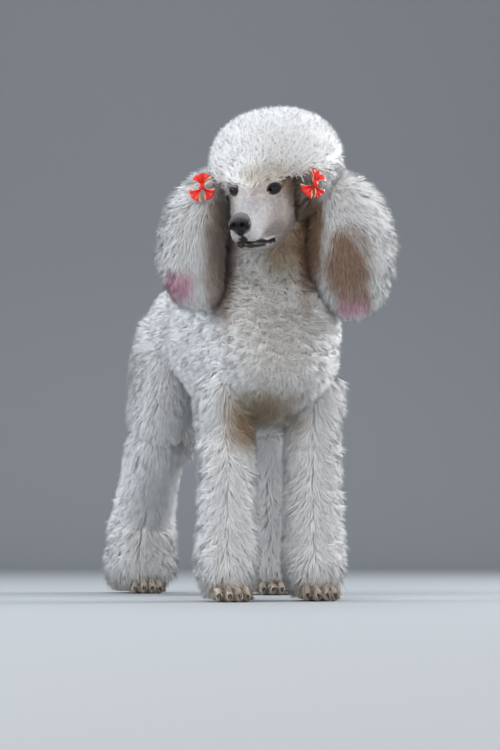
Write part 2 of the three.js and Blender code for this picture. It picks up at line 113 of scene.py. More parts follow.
def catmull(rows, t):
    count = len(rows)
    ends = np.vstack([2 * rows[0] - rows[1], rows, 2 * rows[-1] - rows[-2]])
    at = np.clip(t, 0, 1) * (count - 1)
    i = np.minimum(at.astype(int), count - 2)
    w = (at - i)[:, None]
    p0, p1, p2, p3 = ends[i], ends[i + 1], ends[i + 2], ends[i + 3]
    m1, m2 = (p2 - p0) / 2, (p3 - p1) / 2
    place = (2 * p1 - 2 * p2 + m1 + m2) * w**3 + (-3 * p1 + 3 * p2 - 2 * m1 - m2) * w**2 + m1 * w + p1
    slope = 3 * (2 * p1 - 2 * p2 + m1 + m2) * w**2 + 2 * (-3 * p1 + 3 * p2 - 2 * m1 - m2) * w + m1
    return place, slope


def shellFaces(rows, around):  # quads of a closed shell of rings, and the triangles round its two last points
    grid = np.arange(rows * around).reshape(rows, around)
    wrap = np.roll(grid, -1, 1)
    quads = np.stack([grid[:-1], wrap[:-1], wrap[1:], grid[1:]], -1).reshape(-1, 4)
    first, last = np.full(around, grid.size), np.full(around, grid.size + 1)
    return quads, np.vstack([np.stack([first, wrap[0], grid[0]], 1), np.stack([last, grid[-1], wrap[-1]], 1)])


class Form:  # a rounded tube through stations of x, y, z, half width, half depth; the coat's own outline
    def __init__(self, stations, side=(1, 0, 0), cap=0.1, square=1.0, inHead=False):
        self.rows = np.array(stations, float)
        self.side = np.array(side, float)
        self.cap = cap
        self.square = square
        self.inHead = inHead

    def axes(self, v):
        place, slope = catmull(self.rows[:, :3], v)
        along = unit(slope)
        across = unit(self.side - along * (along @ self.side)[:, None])
        return place, along, across, np.cross(along, across)

    def rounding(self, v):
        near = np.minimum(1, np.maximum(0, np.minimum(v, 1 - v)) / self.cap)
        return np.sqrt(np.maximum(0, 1 - (1 - near) ** 2))

    def girth(self, v, grow=0.0):
        return np.maximum(0.5, catmull(self.rows[:, 3:5], v)[0] + np.reshape(grow, (-1, 1)))

    def point(self, u, v, grow=0.0):
        grow = np.broadcast_to(np.asarray(grow, float), u.shape)
        place, along, across, deep = self.axes(v)
        girth = self.girth(v, grow)
        turn = rounding = self.rounding(v)
        c, s = np.cos(u * 2 * np.pi), np.sin(u * 2 * np.pi)
        c, s = np.sign(c) * np.abs(c) ** self.square, np.sign(s) * np.abs(s) ** self.square
        end = np.where(v < 0.5, -grow, grow) * (1 - turn)
        p = place + along * end[:, None]
        p = p + across * (c * girth[:, 0] * rounding)[:, None] + deep * (s * girth[:, 1] * rounding)[:, None]
        return onHead(p) if self.inHead else p

    def mesh(self, around, rings, grow):
        v = (1 - np.cos(np.linspace(0, np.pi, rings + 1)[1:-1])) / 2
        v = 0.5 * v + 0.5 * np.linspace(0, 1, rings + 1)[1:-1]
        u = np.arange(around) / around
        uu, vv = np.meshgrid(u, v)
        body = self.point(uu.ravel(), vv.ravel(), grow)
        ends = self.point(np.zeros(2), np.array([0.0, 1.0]), grow)
        return np.vstack([body, ends]), *shellFaces(rings - 1, around)

    # Which points lie inside the form, each judged at its nearest share of the length.
    def inside(self, points, grow=0.0, slack=1.0):
        if self.inHead:
            points = inHeadFrame(points)
        v = np.linspace(0, 1, 41)
        path, along, across, deep = self.axes(v)
        near = np.empty(len(points), int)
        for a in range(0, len(points), 20000):
            d = ((points[a:a + 20000, None, :] - path[None]) ** 2).sum(2)
            near[a:a + 20000] = d.argmin(1)
        girth = self.girth(v, grow)[near] * self.rounding(v)[near][:, None].clip(0.05)
        rel = points - path[near]
        x = (rel * across[near]).sum(1) / girth[:, 0]
        y = (rel * deep[near]).sum(1) / girth[:, 1]
        past = np.abs((rel * along[near]).sum(1)) > 30 + 0 * x
        reach = np.abs(x) ** (2 / self.square) + np.abs(y) ** (2 / self.square)
        return (reach < slack) & ~past


# The dog's outline, as in the solids
dog = {
    "back": 578, "brisket": 266, "tuck": 348, "chest": 122, "hip": 123, "chestFront": -128, "rump": 556,
    "foreSpread": 71, "hindSpread": 99, "foreRadius": 53, "hindRadius": 62,
    "foreStep": {"left": 8, "right": -12}, "hindStep": {"left": 428, "right": 602},
    "stifle": {"left": 398, "right": 486},
}
middle = (dog["back"] + dog["brisket"]) / 2
loin = (dog["back"] + dog["tuck"]) / 2
torso = Form([
    (0, dog["chestFront"], 402, 40, 40),
    (0, -92, 398, 82, 92),
    (0, -40, 408, 106, 132),
    (0, 40, middle, dog["chest"] - 2, dog["back"] - middle),
    (0, 130, middle + 8, dog["chest"], dog["back"] - middle - 8),
    (0, 230, loin - 14, dog["chest"] - 3, dog["back"] - loin + 12),
    (0, 330, loin + 3, dog["hip"] - 7, dog["back"] - loin - 4),
    (0, 420, loin + 3, dog["hip"], dog["back"] - loin),
    (0, 500, loin - 2, dog["hip"] - 8, dog["back"] - loin - 4),
    (0, dog["rump"], loin - 12, 60, 60),
], cap=0.06, square=0.84)
neck = Form([
    (-18, -78, 662, 56, 60),
    (-12, -60, 612, 68, 74),
    (-5, -30, 552, 84, 94),
    (0, 8, 496, 101, 112),
    (0, 50, 446, 104, 112),
], cap=0.12)


def foreleg(name):
    side, y, r = sides[name], dog["foreStep"][name], dog["foreRadius"]
    x = side * dog["foreSpread"]
    return Form([
        (x - side * 4, 4, 400, 46, 62),
        (x + side * 2, 4, 330, r, r + 10),
        (x, 4, 270, r - 2, r + 2),
        (x, y, 190, r - 2, r - 1),
        (x + side, y, 110, r, r),
        (x + side * 2, y, 60, r + 1, r + 2),
        (x + side * 2, y, 15, r - 12, r - 10),
    ], cap=0.08)


def thigh(name):
    side, y = sides[name], dog["stifle"][name]
    return Form([
        (side * 64, 452, 490, 50, 78),
        (side * 78, (452 + y) / 2, 436, 66, 104),
        (side * 94, y * 0.5 + 222, 350, 60, 94),
        (side * 97, y, 282, 55, 76),
    ], cap=0.16)


def shank(name):
    side, y, knee, r = sides[name], dog["hindStep"][name], dog["stifle"][name], dog["hindRadius"]
    x = dog["hindSpread"]
    return Form([
        (side * 94, knee - 6, 320, 52, 76),
        (side * 97, knee + 14, 268, 55, 70),
        (side * (x - 2), (knee + y) / 2 + 8, 208, 56, 68),
        (side * x, y - 6, 150, r - 2, r + 10),
        (side * (x + 3), y, 92, r + 6, r + 12),
        (side * (x + 5), y, 50, r + 8, r + 10),
        (side * (x + 2), y - 4, 15, r - 12, r - 8),
    ], cap=0.07)


tail = Form([
    (0, 520, 538, 24, 24),
    (-2, 566, 520, 24, 24),
    (-6, 594, 462, 28, 30),
    (-14, 604, 380, 30, 34),
    (-20, 606, 310, 29, 32),
    (-22, 604, 262, 18, 18),
], cap=0.08)
topknotSize = {"centre": (11, 103, 13), "radius": 106, "height": 87, "brow": 14, "temple": 45}
cx, cy, cz = topknotSize["centre"]
topknot = Form([
    (cx, cy, cz - topknotSize["height"], topknotSize["radius"], topknotSize["radius"] * 1.04),
    (cx, cy, cz + topknotSize["height"], topknotSize["radius"], topknotSize["radius"] * 1.04),
], cap=0.5, inHead=True)
ears = {
    "left": Form([
        (56, -122, 658, 28, 30),
        (76, -118, 632, 52, 44),
        (94, -112, 598, 67, 56),
        (103, -108, 553, 74, 60),
        (107, -106, 505, 66, 54),
        (107, -104, 440, 40, 36),
    ], cap=0.14),
    "right": Form([
        (-98, -76, 668, 24, 28),
        (-112, -70, 642, 40, 40),
        (-130, -62, 602, 51, 54),
        (-139, -58, 553, 55, 58),
        (-136, -56, 508, 51, 52),
        (-118, -56, 456, 36, 34),
    ], cap=0.14),
}
limbs = {name: {"fore": foreleg(name), "thigh": thigh(name), "shank": shank(name)} for name in sides}
say("outline ready")


# Small tools for closed surfaces from distance fields
def ellipsoidField(centre, radii, turn=(0, 0, 0)):
    turnX, turnY, turnZ = (Matrix.Rotation(angle, 3, axis) for angle, axis in zip(turn, "XYZ"))
    frameTurn = np.array(turnZ @ turnY @ turnX)
    centre, radii = np.array(centre, float), np.array(radii, float)

    def field(p):
        q = (p - centre) @ frameTurn
        k0 = np.linalg.norm(q / radii, axis=1)
        k1 = np.maximum(np.linalg.norm(q / radii**2, axis=1), 1e-6)
        return k0 * (k0 - 1) / k1
    return field, centre - radii.max(), centre + radii.max()


def tubeField(rows, side=(1, 0, 0), steps=4):
    form = Form(rows, side)
    v = np.linspace(0, 1, (len(rows) - 1) * steps + 1)
    path, along, across, deep = form.axes(v)
    girth = form.girth(v)

    def field(p):
        best = np.full(len(p), 1e9)
        for i in range(len(v) - 1):
            step = path[i + 1] - path[i]
            size = step @ step
            t = np.clip((p - path[i]) @ step / size, 0, 1)
            q = p - path[i] - t[:, None] * step
            rx = girth[i, 0] + t * (girth[i + 1, 0] - girth[i, 0])
            ry = girth[i, 1] + t * (girth[i + 1, 1] - girth[i, 1])
            small = np.minimum(rx, ry)
            far = np.sqrt((q @ across[i] / rx) ** 2 + (q @ deep[i] / ry) ** 2 + (q @ along[i] / small) ** 2)
            best = np.minimum(best, (far - 1) * small)
        return best
    reach = girth.max(1)[:, None]
    return field, (path - reach).min(0), (path + reach).max(0)


class Clay:  # a block of space that shapes are blended into and carved from
    def __init__(self, low, high, step):
        self.low, self.step = np.array(low, float), step
        self.count = np.ceil((np.array(high, float) - low) / step).astype(int) + 1
        self.field = np.full(self.count, 1e3)

    def apply(self, shape, blend=4.0, carve=False):
        field, low, high = shape
        margin = blend + 3 * self.step
        a = np.clip(np.floor((low - margin - self.low) / self.step).astype(int), 0, self.count - 1)
        b = np.clip(np.ceil((high + margin - self.low) / self.step).astype(int) + 1, 1, self.count)
        grids = np.meshgrid(*[self.low[i] + np.arange(a[i], b[i]) * self.step for i in range(3)], indexing="ij")
        shape = grids[0].shape
        d = field(np.stack([g.ravel() for g in grids], 1)).reshape(shape)
        part = self.field[a[0]:b[0], a[1]:b[1], a[2]:b[2]]
        if carve:
            d = -d
            h = np.maximum(blend - np.abs(part - d), 0) / blend
            part[:] = np.maximum(part, d) + h * h * blend / 4
        else:
            h = np.maximum(blend - np.abs(part - d), 0) / blend
            part[:] = np.minimum(part, d) - h * h * blend / 4
        return self

    def sample(self, points):  # the distance at points, between the grid's own
        at = np.clip((points - self.low) / self.step, 0, self.count - 1.001)
        i = at.astype(int)
        w = at - i
        total = np.zeros(len(points))
        for dx, dy, dz in np.ndindex(2, 2, 2):
            share = np.abs(1 - dx - w[:, 0]) * np.abs(1 - dy - w[:, 1]) * np.abs(1 - dz - w[:, 2])
            total += share * self.field[i[:, 0] + dx, i[:, 1] + dy, i[:, 2] + dz]
        return total

    # The surface as points and quads: one point in each cell that the surface crosses.
    def surface(self):
        f = self.field
        for axis in range(3):  # closed at the block's sides
            sheets = np.moveaxis(f, axis, 0)
            sheets[[0, -1]] = np.maximum(sheets[[0, -1]], 0.01)
        n = np.array(f.shape) - 1
        total, hits = np.zeros((*n, 3)), np.zeros(n)
        for axis in range(3):
            others = [i for i in range(3) if i != axis]
            for d0, d1 in np.ndindex(2, 2):
                offset = [0, 0, 0]
                offset[others[0]], offset[others[1]] = d0, d1
                low = tuple(slice(offset[i], offset[i] + n[i]) for i in range(3))
                offset[axis] = 1
                high = tuple(slice(offset[i], offset[i] + n[i]) for i in range(3))
                fa, fb = f[low], f[high]
                cross = (fa < 0) != (fb < 0)
                spot = np.zeros((*n, 3))
                spot[..., others[0]], spot[..., others[1]] = d0, d1
                spot[..., axis] = np.where(cross, fa / np.where(cross, fa - fb, 1), 0)
                total += spot * cross[..., None]
                hits += cross
        used = hits > 0
        index = np.full(n, -1)
        index[used] = np.arange(used.sum())
        cells = np.argwhere(used)
        points = self.low + (cells + total[used] / hits[used][:, None]) * self.step
        quads = []
        for axis in range(3):
            b, c = (axis + 1) % 3, (axis + 2) % 3
            low = [slice(1, None)] * 3
            high = [slice(1, None)] * 3
            low[axis], high[axis] = slice(0, -1), slice(1, None)
            fa, fb = f[tuple(low)], f[tuple(high)]
            for sign in (True, False):
                at = np.argwhere(((fa < 0) & (fb >= 0)) if sign else ((fa >= 0) & (fb < 0)))
                at = at + 1
                at[:, axis] -= 1
                corners = []
                for db, dc in ((1, 1), (0, 1), (0, 0), (1, 0)):
                    q = at.copy()
                    q[:, b] -= db
                    q[:, c] -= dc
                    corners.append(q)
                ids = np.stack([index[tuple(q.T)] for q in corners], 1)
                ids = ids[(ids >= 0).all(1)]
                quads.append(ids if sign else ids[:, ::-1])
        return points, np.vstack(quads)


def fastMesh(name, points, quads=None, triangles=None, normals=None, place=toRow):
    mesh = bpy.data.meshes.new(name)
    quads = np.zeros((0, 4), int) if quads is None else np.asarray(quads)
    triangles = np.zeros((0, 3), int) if triangles is None else np.asarray(triangles)
    mesh.vertices.add(len(points))
    mesh.vertices.foreach_set("co", place(points).astype(np.float32).ravel())
    corners = np.concatenate([quads.ravel(), triangles.ravel()]).astype(np.int32)
    mesh.loops.add(len(corners))
    mesh.loops.foreach_set("vertex_index", corners)
    mesh.polygons.add(len(quads) + len(triangles))
    starts = np.concatenate([np.arange(len(quads)) * 4, len(quads) * 4 + np.arange(len(triangles)) * 3])
    mesh.polygons.foreach_set("loop_start", starts.astype(np.int32))
    mesh.update(calc_edges=True)
    mesh.shade_smooth()
    if normals is not None:
        mesh.normals_split_custom_set_from_vertices(normals.astype(np.float32))
    made = bpy.data.objects.new(name, mesh)
    bpy.context.scene.collection.objects.link(made)
    return made


def joined(parts):  # several shells of points, quads and triangles as one
    bases = np.cumsum([0] + [len(points) for points, _, _ in parts])
    quads = [quads + base for (_, quads, _), base in zip(parts, bases)]
    triangles = [triangles + base for (_, _, triangles), base in zip(parts, bases)]
    return np.vstack([points for points, _, _ in parts]), np.vstack(quads), np.vstack(triangles)


def fit(made, slot, *nodes):  # rides on the body in place of the solids named
    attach(made, "root")
    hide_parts(*nodes)


def mark(mesh, name, values):
    spots = mesh.attributes.new(name, "FLOAT", "POINT")
    spots.data.foreach_set("value", np.asarray(values, np.float32))


# Markings and painted shade, in the dog's frame; the skin and the coat take them alike
camera = {"lens": 90.72, "azimuth": -13, "distance": 3000, "right": -32, "height": 80, "pitch": 5.29}
turned = math.radians(camera["azimuth"])
rightward = np.array((math.cos(turned), math.sin(turned), 0))
forward = np.array((-math.sin(turned), math.cos(turned), 0))


def patch(points, centre, radii, soft=0.35):
    centre, radii = np.array(centre, float), np.array(radii, float)
    far = np.linalg.norm((points - centre) / radii, axis=1)
    far = far + 0.12 * noise(points, 38) + 0.06 * noise(points, 14, 7)
    return 1 - smooth(1 - soft, 1 + soft, far)


# Stains and painted shade: the strength, centre, radii and softness of each patch, seen square to the camera
stainsAndShade = {
    # Brown: the patch under the chin is painted shade. The strip between the face and the left ear is partly the ear's
    # brown and partly painted shade. The brisket's patch is partly a stain and partly painted shade on the chest's
    # underside.
    "brownAndShade": [(0.9, (130, -150, 460), (36, 70, 26), 0.3), (0.35, (24, -120, 548), (44, 80, 46), 0.6),
              (0.85, (31, -110, 620), (15, 60, 44), 0.4), (1.0, (62, -110, 560), (17, 60, 100), 0.5),
              (0.7, (-12, -90, 268), (44, 78, 30), 0.7), (0.6, (50, -90, 610), (20, 60, 46), 0.5)],
    "pink": [(1.0, (-142, -90, 478), (30, 60, 22), 0.5), (0.75, (128, -140, 440), (38, 60, 17), 0.5)],
    # Beige: the throat's patch and the chest front's patch are painted shade. The brisket's patch is partly its own
    # beige and partly painted shade.
    "beigeAndShade": [(1.0, (-12, -70, 278), (62, 76, 46), 0.6), (1.0, (24, -120, 552), (44, 80, 56), 0.6),
              (0.3, (0, -140, 430), (76, 90, 120), 0.7)],
}


def markingsAndShade(p):
    flat = np.stack([p @ rightward, p @ forward, p[:, 2]], 1)
    marks = {}
    for key, rows in stainsAndShade.items():
        marks[key] = np.maximum.reduce([strength * patch(flat, *spot) for strength, *spot in rows])
    leftEar = patch(flat, (117, -160, 500), (45, 64, 62), 0.32) * (1 - smooth(-118, -88, flat[:, 1]))
    rightEar = 0.75 * patch(flat, (-80, -80, 545), (25, 95, 112), 0.4) * (flat[:, 0] > -108)
    marks["brownAndShade"] = np.maximum.reduce([marks["brownAndShade"], leftEar, rightEar])
    # A band of painted warm shade on the hair over the brow.
    brow = 0.55 * patch(flat, (0, -210, 646), (60, 100, 19), 0.6) * (flat[:, 1] < -120)
    marks["beigeAndShade"] = np.maximum.reduce([marks["beigeAndShade"], brow, 0.3 * (1 - smooth(8, 36, p[:, 2]))])
    marks["cream"] = 0.8 * smooth(572, 596, p[:, 1]) * smooth(250, 300, p[:, 2]) * (np.abs(p[:, 0] + 12) < 60)  # tail
    return marks


# Head: its own frame is between the eyes, -Y along the muzzle, +Z out of the brow
face = {"eyeSpread": 28, "eyeY": -3, "eyeRadius": 10.5, "muzzle": 112, "step": 1.4,
        "gazeSide": 20, "gazeUp": 4, "slitHalf": 10.0, "slitUp": 6.2, "slitDown": 4.9}
skull = [(0, 128, 2, 30, 30), (0, 95, 8, 47, 47), (0, 50, 4, 48, 52), (0, 14, -8, 40, 41), (0, -8, -18, 31, 32)]
upperMuzzle = [(0, 34, -28, 34, 40), (0, -12, -30, 28, 37), (0, -54, -37, 22.5, 29.5), (0, -92, -40, 18.5, 21.5),
               (0, -104, -41, 16, 18)]
lowerJaw = [(0, 40, -78, 30, 20), (0, -8, -79, 25, 14), (0, -50, -72, 19.5, 10.5), (0, -84, -66, 14.5, 9),
            (0, -95, -62, 11, 7)]
throat = [(0, 10, -70, 27, 24), (0, 48, -62, 38, 38), (0, 92, -36, 43, 44), (0, 124, -15, 34, 34)]
lipHalf = [(33, -8, -76), (29, -30, -74), (25, -56, -69), (20, -82, -63), (11, -99, -58.5), (0, -105, -57.5)]


def eyePlace(side):
    return np.array((side * face["eyeSpread"], face["eyeY"], 0))


def eyeAxes(side):
    out = math.radians(face["gazeSide"])
    up = math.radians(face["gazeUp"])
    gaze = np.array((side * math.sin(out) * math.cos(up), -math.cos(out) * math.cos(up), math.sin(up)))
    lateral = unit(np.cross(gaze, (0, 0, 1)) * -side)  # towards the outer corner
    lateral = unit(lateral + np.array((0, 0, 0.16)))
    rise = np.cross(lateral, gaze) * side
    rise = rise * np.sign(rise[2])
    return gaze, lateral, rise


def slit(points, side, grow=0.0):  # distance from the almond opening of the lids, and the depth along the gaze
    gaze, lateral, rise = eyeAxes(side)
    q = points - eyePlace(side)
    x, z, deep = q @ lateral, q @ rise, q @ gaze
    a, up, down = face["slitHalf"] + grow, face["slitUp"] + grow, face["slitDown"] + grow
    r1, r2 = (a * a + up * up) / (2 * up), (a * a + down * down) / (2 * down)
    d = np.maximum(np.hypot(x, z - (up - r1)) - r1, np.hypot(x, z + (down - r2)) - r2)
    return d, deep


clay = Clay((-62, -126, -112), (62, 120, 62), face["step"])
clay.apply(tubeField(skull), 6)
clay.apply(tubeField(upperMuzzle), 9)
clay.apply(tubeField(throat), 10)
clay.apply(ellipsoidField((0, 6, 8), (16, 26, 15)), 10)  # stop and brow
for side in (1, -1):
    clay.apply(ellipsoidField((side * 27, 30, -42), (18, 40, 34)), 12)  # cheek
    clay.apply(ellipsoidField((side * 25, 8, 12), (13, 15, 8), (0, side * 0.5, 0)), 8)  # brow ridge
    clay.apply(ellipsoidField((side * 10.5, -86, -48), (9.5, 20, 12.5)), 8)  # upper lip
clay.apply(tubeField(lowerJaw), 3)


def surfaceFrom(start, aim):  # where a line from outside first meets the clay
    along = np.arange(0, 90, 0.5)[:, None] * unit(np.array(aim, float)) + np.array(start, float)
    inside = clay.sample(along) < 0
    return along[inside.argmax()] if inside.any() else np.array(start, float)


# Each lip point is drawn in to the surface, level from the side, and from the front on the chin.
lipLine = []
for x, y, z in lipHalf:
    away = unit(np.array((x, -40.0 if y < -95 else -6.0, 0)))
    lipLine.append(surfaceFrom(np.array((0, y, z)) + away * 60, -away))
lipLine = np.array(lipLine)
lipLine[-1, 0] = 0
for side in (1, -1):
    lip = lipLine * (side, 1, 1)
    clay.apply(tubeField([(x * 0.97, y, z - 3.6, 2.6, 2.6) for x, y, z in lip], steps=3), 3)  # lower lip
    clay.apply(tubeField([(x * 0.98, y, z + 3.4, 2.6, 2.6) for x, y, z in lip], steps=3), 3)  # upper lip's edge
for side in (1, -1):
    lip = lipLine * (side, 1, 1)
    clay.apply(tubeField([(x, y, z, 1.4, 1.1) for x, y, z in lip], steps=3), 1.4, carve=True)  # the mouth's line
    ball = eyePlace(side)
    clay.apply(ellipsoidField(ball, (13.0, 13.0, 12.2)), 5)

    def opening(p, side=side):
        d, deep = slit(p, side)
        return np.maximum(d, 2.0 - deep)
    clay.apply((opening, ball - 18, ball + 18), 0.8, carve=True)
    clay.apply(ellipsoidField(ball, (10.6, 10.6, 10.6)), 0.6, carve=True)
headPoints, headQuads = clay.surface()
say(f"head {len(headQuads)} faces")


def faceMarks(p):  # p in the head's frame
    marks = {}
    rim = np.zeros(len(p))
    tear = np.zeros(len(p))
    for side in (1, -1):
        d, deep = slit(p, side)
        near = np.linalg.norm(p - eyePlace(side), axis=1) < 22
        rim = np.maximum(rim, (1 - smooth(2.3, 5.4, d)) * near * (deep > 0))
        gaze, lateral, rise = eyeAxes(side)
        inner = eyePlace(side) - lateral * 12.5 + gaze * 7 - rise * 1.5  # the corner by the nose
        rim = np.maximum(rim, 1 - smooth(2.4, 5.6, np.linalg.norm(p - inner, axis=1)))
        below = np.linalg.norm((p - inner + (0, 6, 8)) / (7, 12, 11), axis=1)
        tear = np.maximum(tear, 1 - smooth(0.4, 1.4, below))
    lip = np.full(len(p), 1e3)
    rows = np.vstack([lipLine, (lipLine * (-1, 1, 1))[::-1][1:]])
    for a, b in zip(rows[:-1], rows[1:]):
        t = np.clip((p - a) @ (b - a) / ((b - a) @ (b - a)), 0, 1)
        q = p - a - t[:, None] * (b - a)
        q[:, 2] = np.where(q[:, 2] > 0, q[:, 2] * 1.15, q[:, 2] * 0.68)
        lip = np.minimum(lip, np.linalg.norm(q, axis=1))
    thickLip = 2.6 * (1 - smooth(-66, -46, p[:, 1])) + 1.4 * smooth(-26, -14, p[:, 1])
    marks["lip"] = 1 - smooth(3.0, 4.6, lip - thickLip + 0.5 * noise(p, 16))
    philtrum = np.linalg.norm((p - (2, -110, -50)) / (7, 12, 9), axis=1)
    marks["lip"] = np.maximum(marks["lip"], 1 - smooth(0.8, 1.25, philtrum + 0.1 * noise(p, 9)))
    marks["rim"] = rim
    marks["tear"] = tear
    temple = 1 - smooth(0.4, 1.3, np.linalg.norm((p - (44, 22, 0)) / (18, 30, 24), axis=1) + 0.12 * noise(p, 14))
    brow = 1 - smooth(0.4, 1.3, np.linalg.norm((p - (18, -5, 11)) / (11, 10, 9), axis=1) + 0.1 * noise(p, 9))
    # Behind the eyes the face turns tan: partly its own tan, partly painted shade on the side of the face towards the
    # ears.
    side = smooth(16, 50, p[:, 1])
    marks["tan"] = np.maximum.reduce([temple, 0.4 * tear, brow, side, 0.3 * smooth(-30, 10, p[:, 1])])
    marks["shade"] = np.maximum(0.75 * smooth(52, 82, p[:, 1]), 0.85 * brow)
    nose = np.linalg.norm((p - (0, -face["muzzle"] - 4, -29)) / (17, 15, 14), axis=1)
    marks["nose"] = 1 - smooth(0.95, 1.22, nose + 0.05 * noise(p, 8))
    marks["chin"] = (1 - smooth(0.5, 1.4, np.linalg.norm((p - (0, -92, -68)) / (20, 20, 12), axis=1))) * 0.8
    # Painted bluish shade over the bridge of the muzzle, stronger towards the nose.
    marks["grey"] = smooth(-30, -70, p[:, 1]) * smooth(-58, -34, p[:, 2]) * 0.8
    return marks


# Paws: four toes and a pad, on the floor under each leg
paw = {"toes": 4, "pitch": 13.5, "height": 46, "reach": (42, 52, 52, 42), "step": 1.9}
pawClay = Clay((-40, -66, -1.4), (40, 38, 58), paw["step"])
pawClay.apply(ellipsoidField((0, -4, 26), (27, 31, 30)), 4)
for i, reach in enumerate(paw["reach"]):
    x = (i - 1.5) * paw["pitch"]
    toe = [(x * 0.8, 2, 27, 8.2, 11), (x * 0.95, -reach * 0.5, 22, 7.6, 11),
           (x * 1.05, -reach * 0.82, 14, 7.4, 10), (x * 1.1, -reach, 9, 6.4, 8)]
    pawClay.apply(tubeField(toe), 2.6)
    pawClay.apply(ellipsoidField((x * 1.08, -reach * 0.9, 6), (6.6, 10, 6.5)), 2)  # toe pad
    if i:
        between = x - paw["pitch"] * 0.5
        pawClay.apply(tubeField([(between, -14, 32, 1.2, 4), (between, -44, 12, 1.4, 9)]), 2.5, carve=True)
    clawBed = [(x * 1.12, -reach * 0.97, 11, 3.0, 3.4), (x * 1.12, -reach - 10, 8, 2.9, 3.2)]
    pawClay.apply(tubeField(clawBed), 1.2, carve=True)
pawClay.apply(ellipsoidField((0, -8, 4), (18, 15, 8)), 5)
flatten = (lambda p: p[:, 2] - 0.3, np.array((-40.0, -66, -2)), np.array((40.0, 38, 2)))
pawClay.apply(flatten, 0.6, carve=True)
pawPoints, pawQuads = pawClay.surface()
pawSpots = []
for name, side in sides.items():
    pawSpots.append(("fore", name, (side * (dog["foreSpread"] + 2), dog["foreStep"][name] - 2, 0), 1.0))
    pawSpots.append(("hind", name, (side * (dog["hindSpread"] + 2), dog["hindStep"][name] - 10, 0), 1.05))
say(f"paw {len(pawQuads)} faces")

# Body skin: the forms less the coat's depth, fused by a fine remesh
bodySkin = {"voxel": 0.0065,
            "torso": -15, "neck": -17, "leg": -18, "thigh": -15, "tail": -14, "topknot": -18, "ear": -20}


def legBone(name, end):  # the leg under its coat, narrow above the foot
    side = sides[name]
    if end == "fore":
        x, y = side * (dog["foreSpread"] + 2), dog["foreStep"][name]
        rows = [(x, 4, 230, 24, 26), (x, y, 150, 24, 25), (x, y, 90, 24, 25), (x, y - 1, 60, 23, 25),
                (x, y - 2, 34, 22, 24)]
    else:
        x, y = side * (dog["hindSpread"] + 2), dog["hindStep"][name]
        rows = [(x, y - 6, 170, 26, 32), (x, y, 120, 26, 30), (x, y - 2, 80, 25, 28), (x, y - 6, 56, 24, 27),
                (x, y - 10, 34, 23, 25)]
    return Form(rows, cap=0.06)


crownPoints, *crownFaces = topknot.mesh(40, 24, bodySkin["topknot"])
crownLocal = inHeadFrame(crownPoints)
# Drawn back from the temples
crownLocal[:, 1] = np.maximum(crownLocal[:, 1], 66 - 40 * smooth(6, 40, crownLocal[:, 2]))
skinParts = [torso.mesh(48, 40, bodySkin["torso"]), neck.mesh(40, 22, bodySkin["neck"]),
             tail.mesh(16, 24, bodySkin["tail"]), (onHead(crownLocal), *crownFaces)]
for name in sides:
    limb = limbs[name]
    for key, depth, last in (("fore", "leg", 64), ("thigh", "thigh", None), ("shank", "leg", 70)):
        points, *faces = limb[key].mesh(28, 24, bodySkin[depth])
        if last is not None:  # the coat hangs free below the pastern
            points[:, 2] = np.where(points[:, 2] < last, last - (last - points[:, 2]) * 0.25, points[:, 2])
        skinParts.append((points, *faces))
    skinParts.append(legBone(name, "fore").mesh(20, 16, 0))
    skinParts.append(legBone(name, "hind").mesh(20, 16, 0))
    skinParts.append(ears[name].mesh(28, 20, bodySkin["ear"]))
raw = fastMesh("rawSkin", *joined(skinParts))
remesh = raw.modifiers.new("remesh", "REMESH")
remesh.mode = "VOXEL"
remesh.voxel_size = bodySkin["voxel"]
relax = raw.modifiers.new("relax", "SMOOTH")
relax.factor = 0.5
relax.iterations = 6
shown = raw.evaluated_get(bpy.context.evaluated_depsgraph_get())
bodyMesh = bpy.data.meshes.new_from_object(shown)
bpy.data.objects.remove(raw)
bodyPoints = np.zeros(len(bodyMesh.vertices) * 3)
bodyMesh.vertices.foreach_get("co", bodyPoints)
bodyPoints = (bodyPoints.reshape(-1, 3) - shift) * 1000
bodyQuads = np.zeros(len(bodyMesh.loops), np.int32)
bodyMesh.loops.foreach_get("vertex_index", bodyQuads)
bodyQuads = bodyQuads.reshape(-1, 4)
say(f"body skin {len(bodyQuads)} faces")

# The lids' dark rims: a closed loop round each opening.
lidRim = {"around": 56, "thick": 1.35, "over": 11.3}
rimPoints, rimQuads, rimBase = [], [], 0
for side in (1, -1):
    gaze, lateral, rise = eyeAxes(side)
    t = np.arange(lidRim["around"]) / lidRim["around"] * 2 * np.pi
    x = np.cos(t) * face["slitHalf"]
    z = np.sign(np.sin(t)) * np.sin(t) ** 2 * np.where(np.sin(t) > 0, face["slitUp"], face["slitDown"])
    deep = np.sqrt(lidRim["over"] ** 2 - x * x - z * z)
    loop = x[:, None] * lateral + z[:, None] * rise + deep[:, None] * gaze
    away = unit(loop)
    ahead = unit(np.roll(loop, -1, 0) - np.roll(loop, 1, 0))
    across = np.cross(ahead, away)
    thick = lidRim["thick"] * np.where(np.sin(t) > 0, 1.25, 1.0)
    ring = []
    for angle in np.arange(8) * np.pi / 4:
        ring.append(loop + thick[:, None] * (away * math.cos(angle) + across * math.sin(angle) * 1.25))
    rimPoints.append(np.stack(ring, 1).reshape(-1, 3) + eyePlace(side))
    grid = np.arange(lidRim["around"] * 8).reshape(-1, 8) + rimBase
    after = np.roll(grid, -1, 0)
    rimQuads.append(np.stack([grid, after, np.roll(after, -1, 1), np.roll(grid, -1, 1)], -1).reshape(-1, 4))
    rimBase += grid.size
rimPoints, rimQuads = np.vstack(rimPoints), np.vstack(rimQuads)

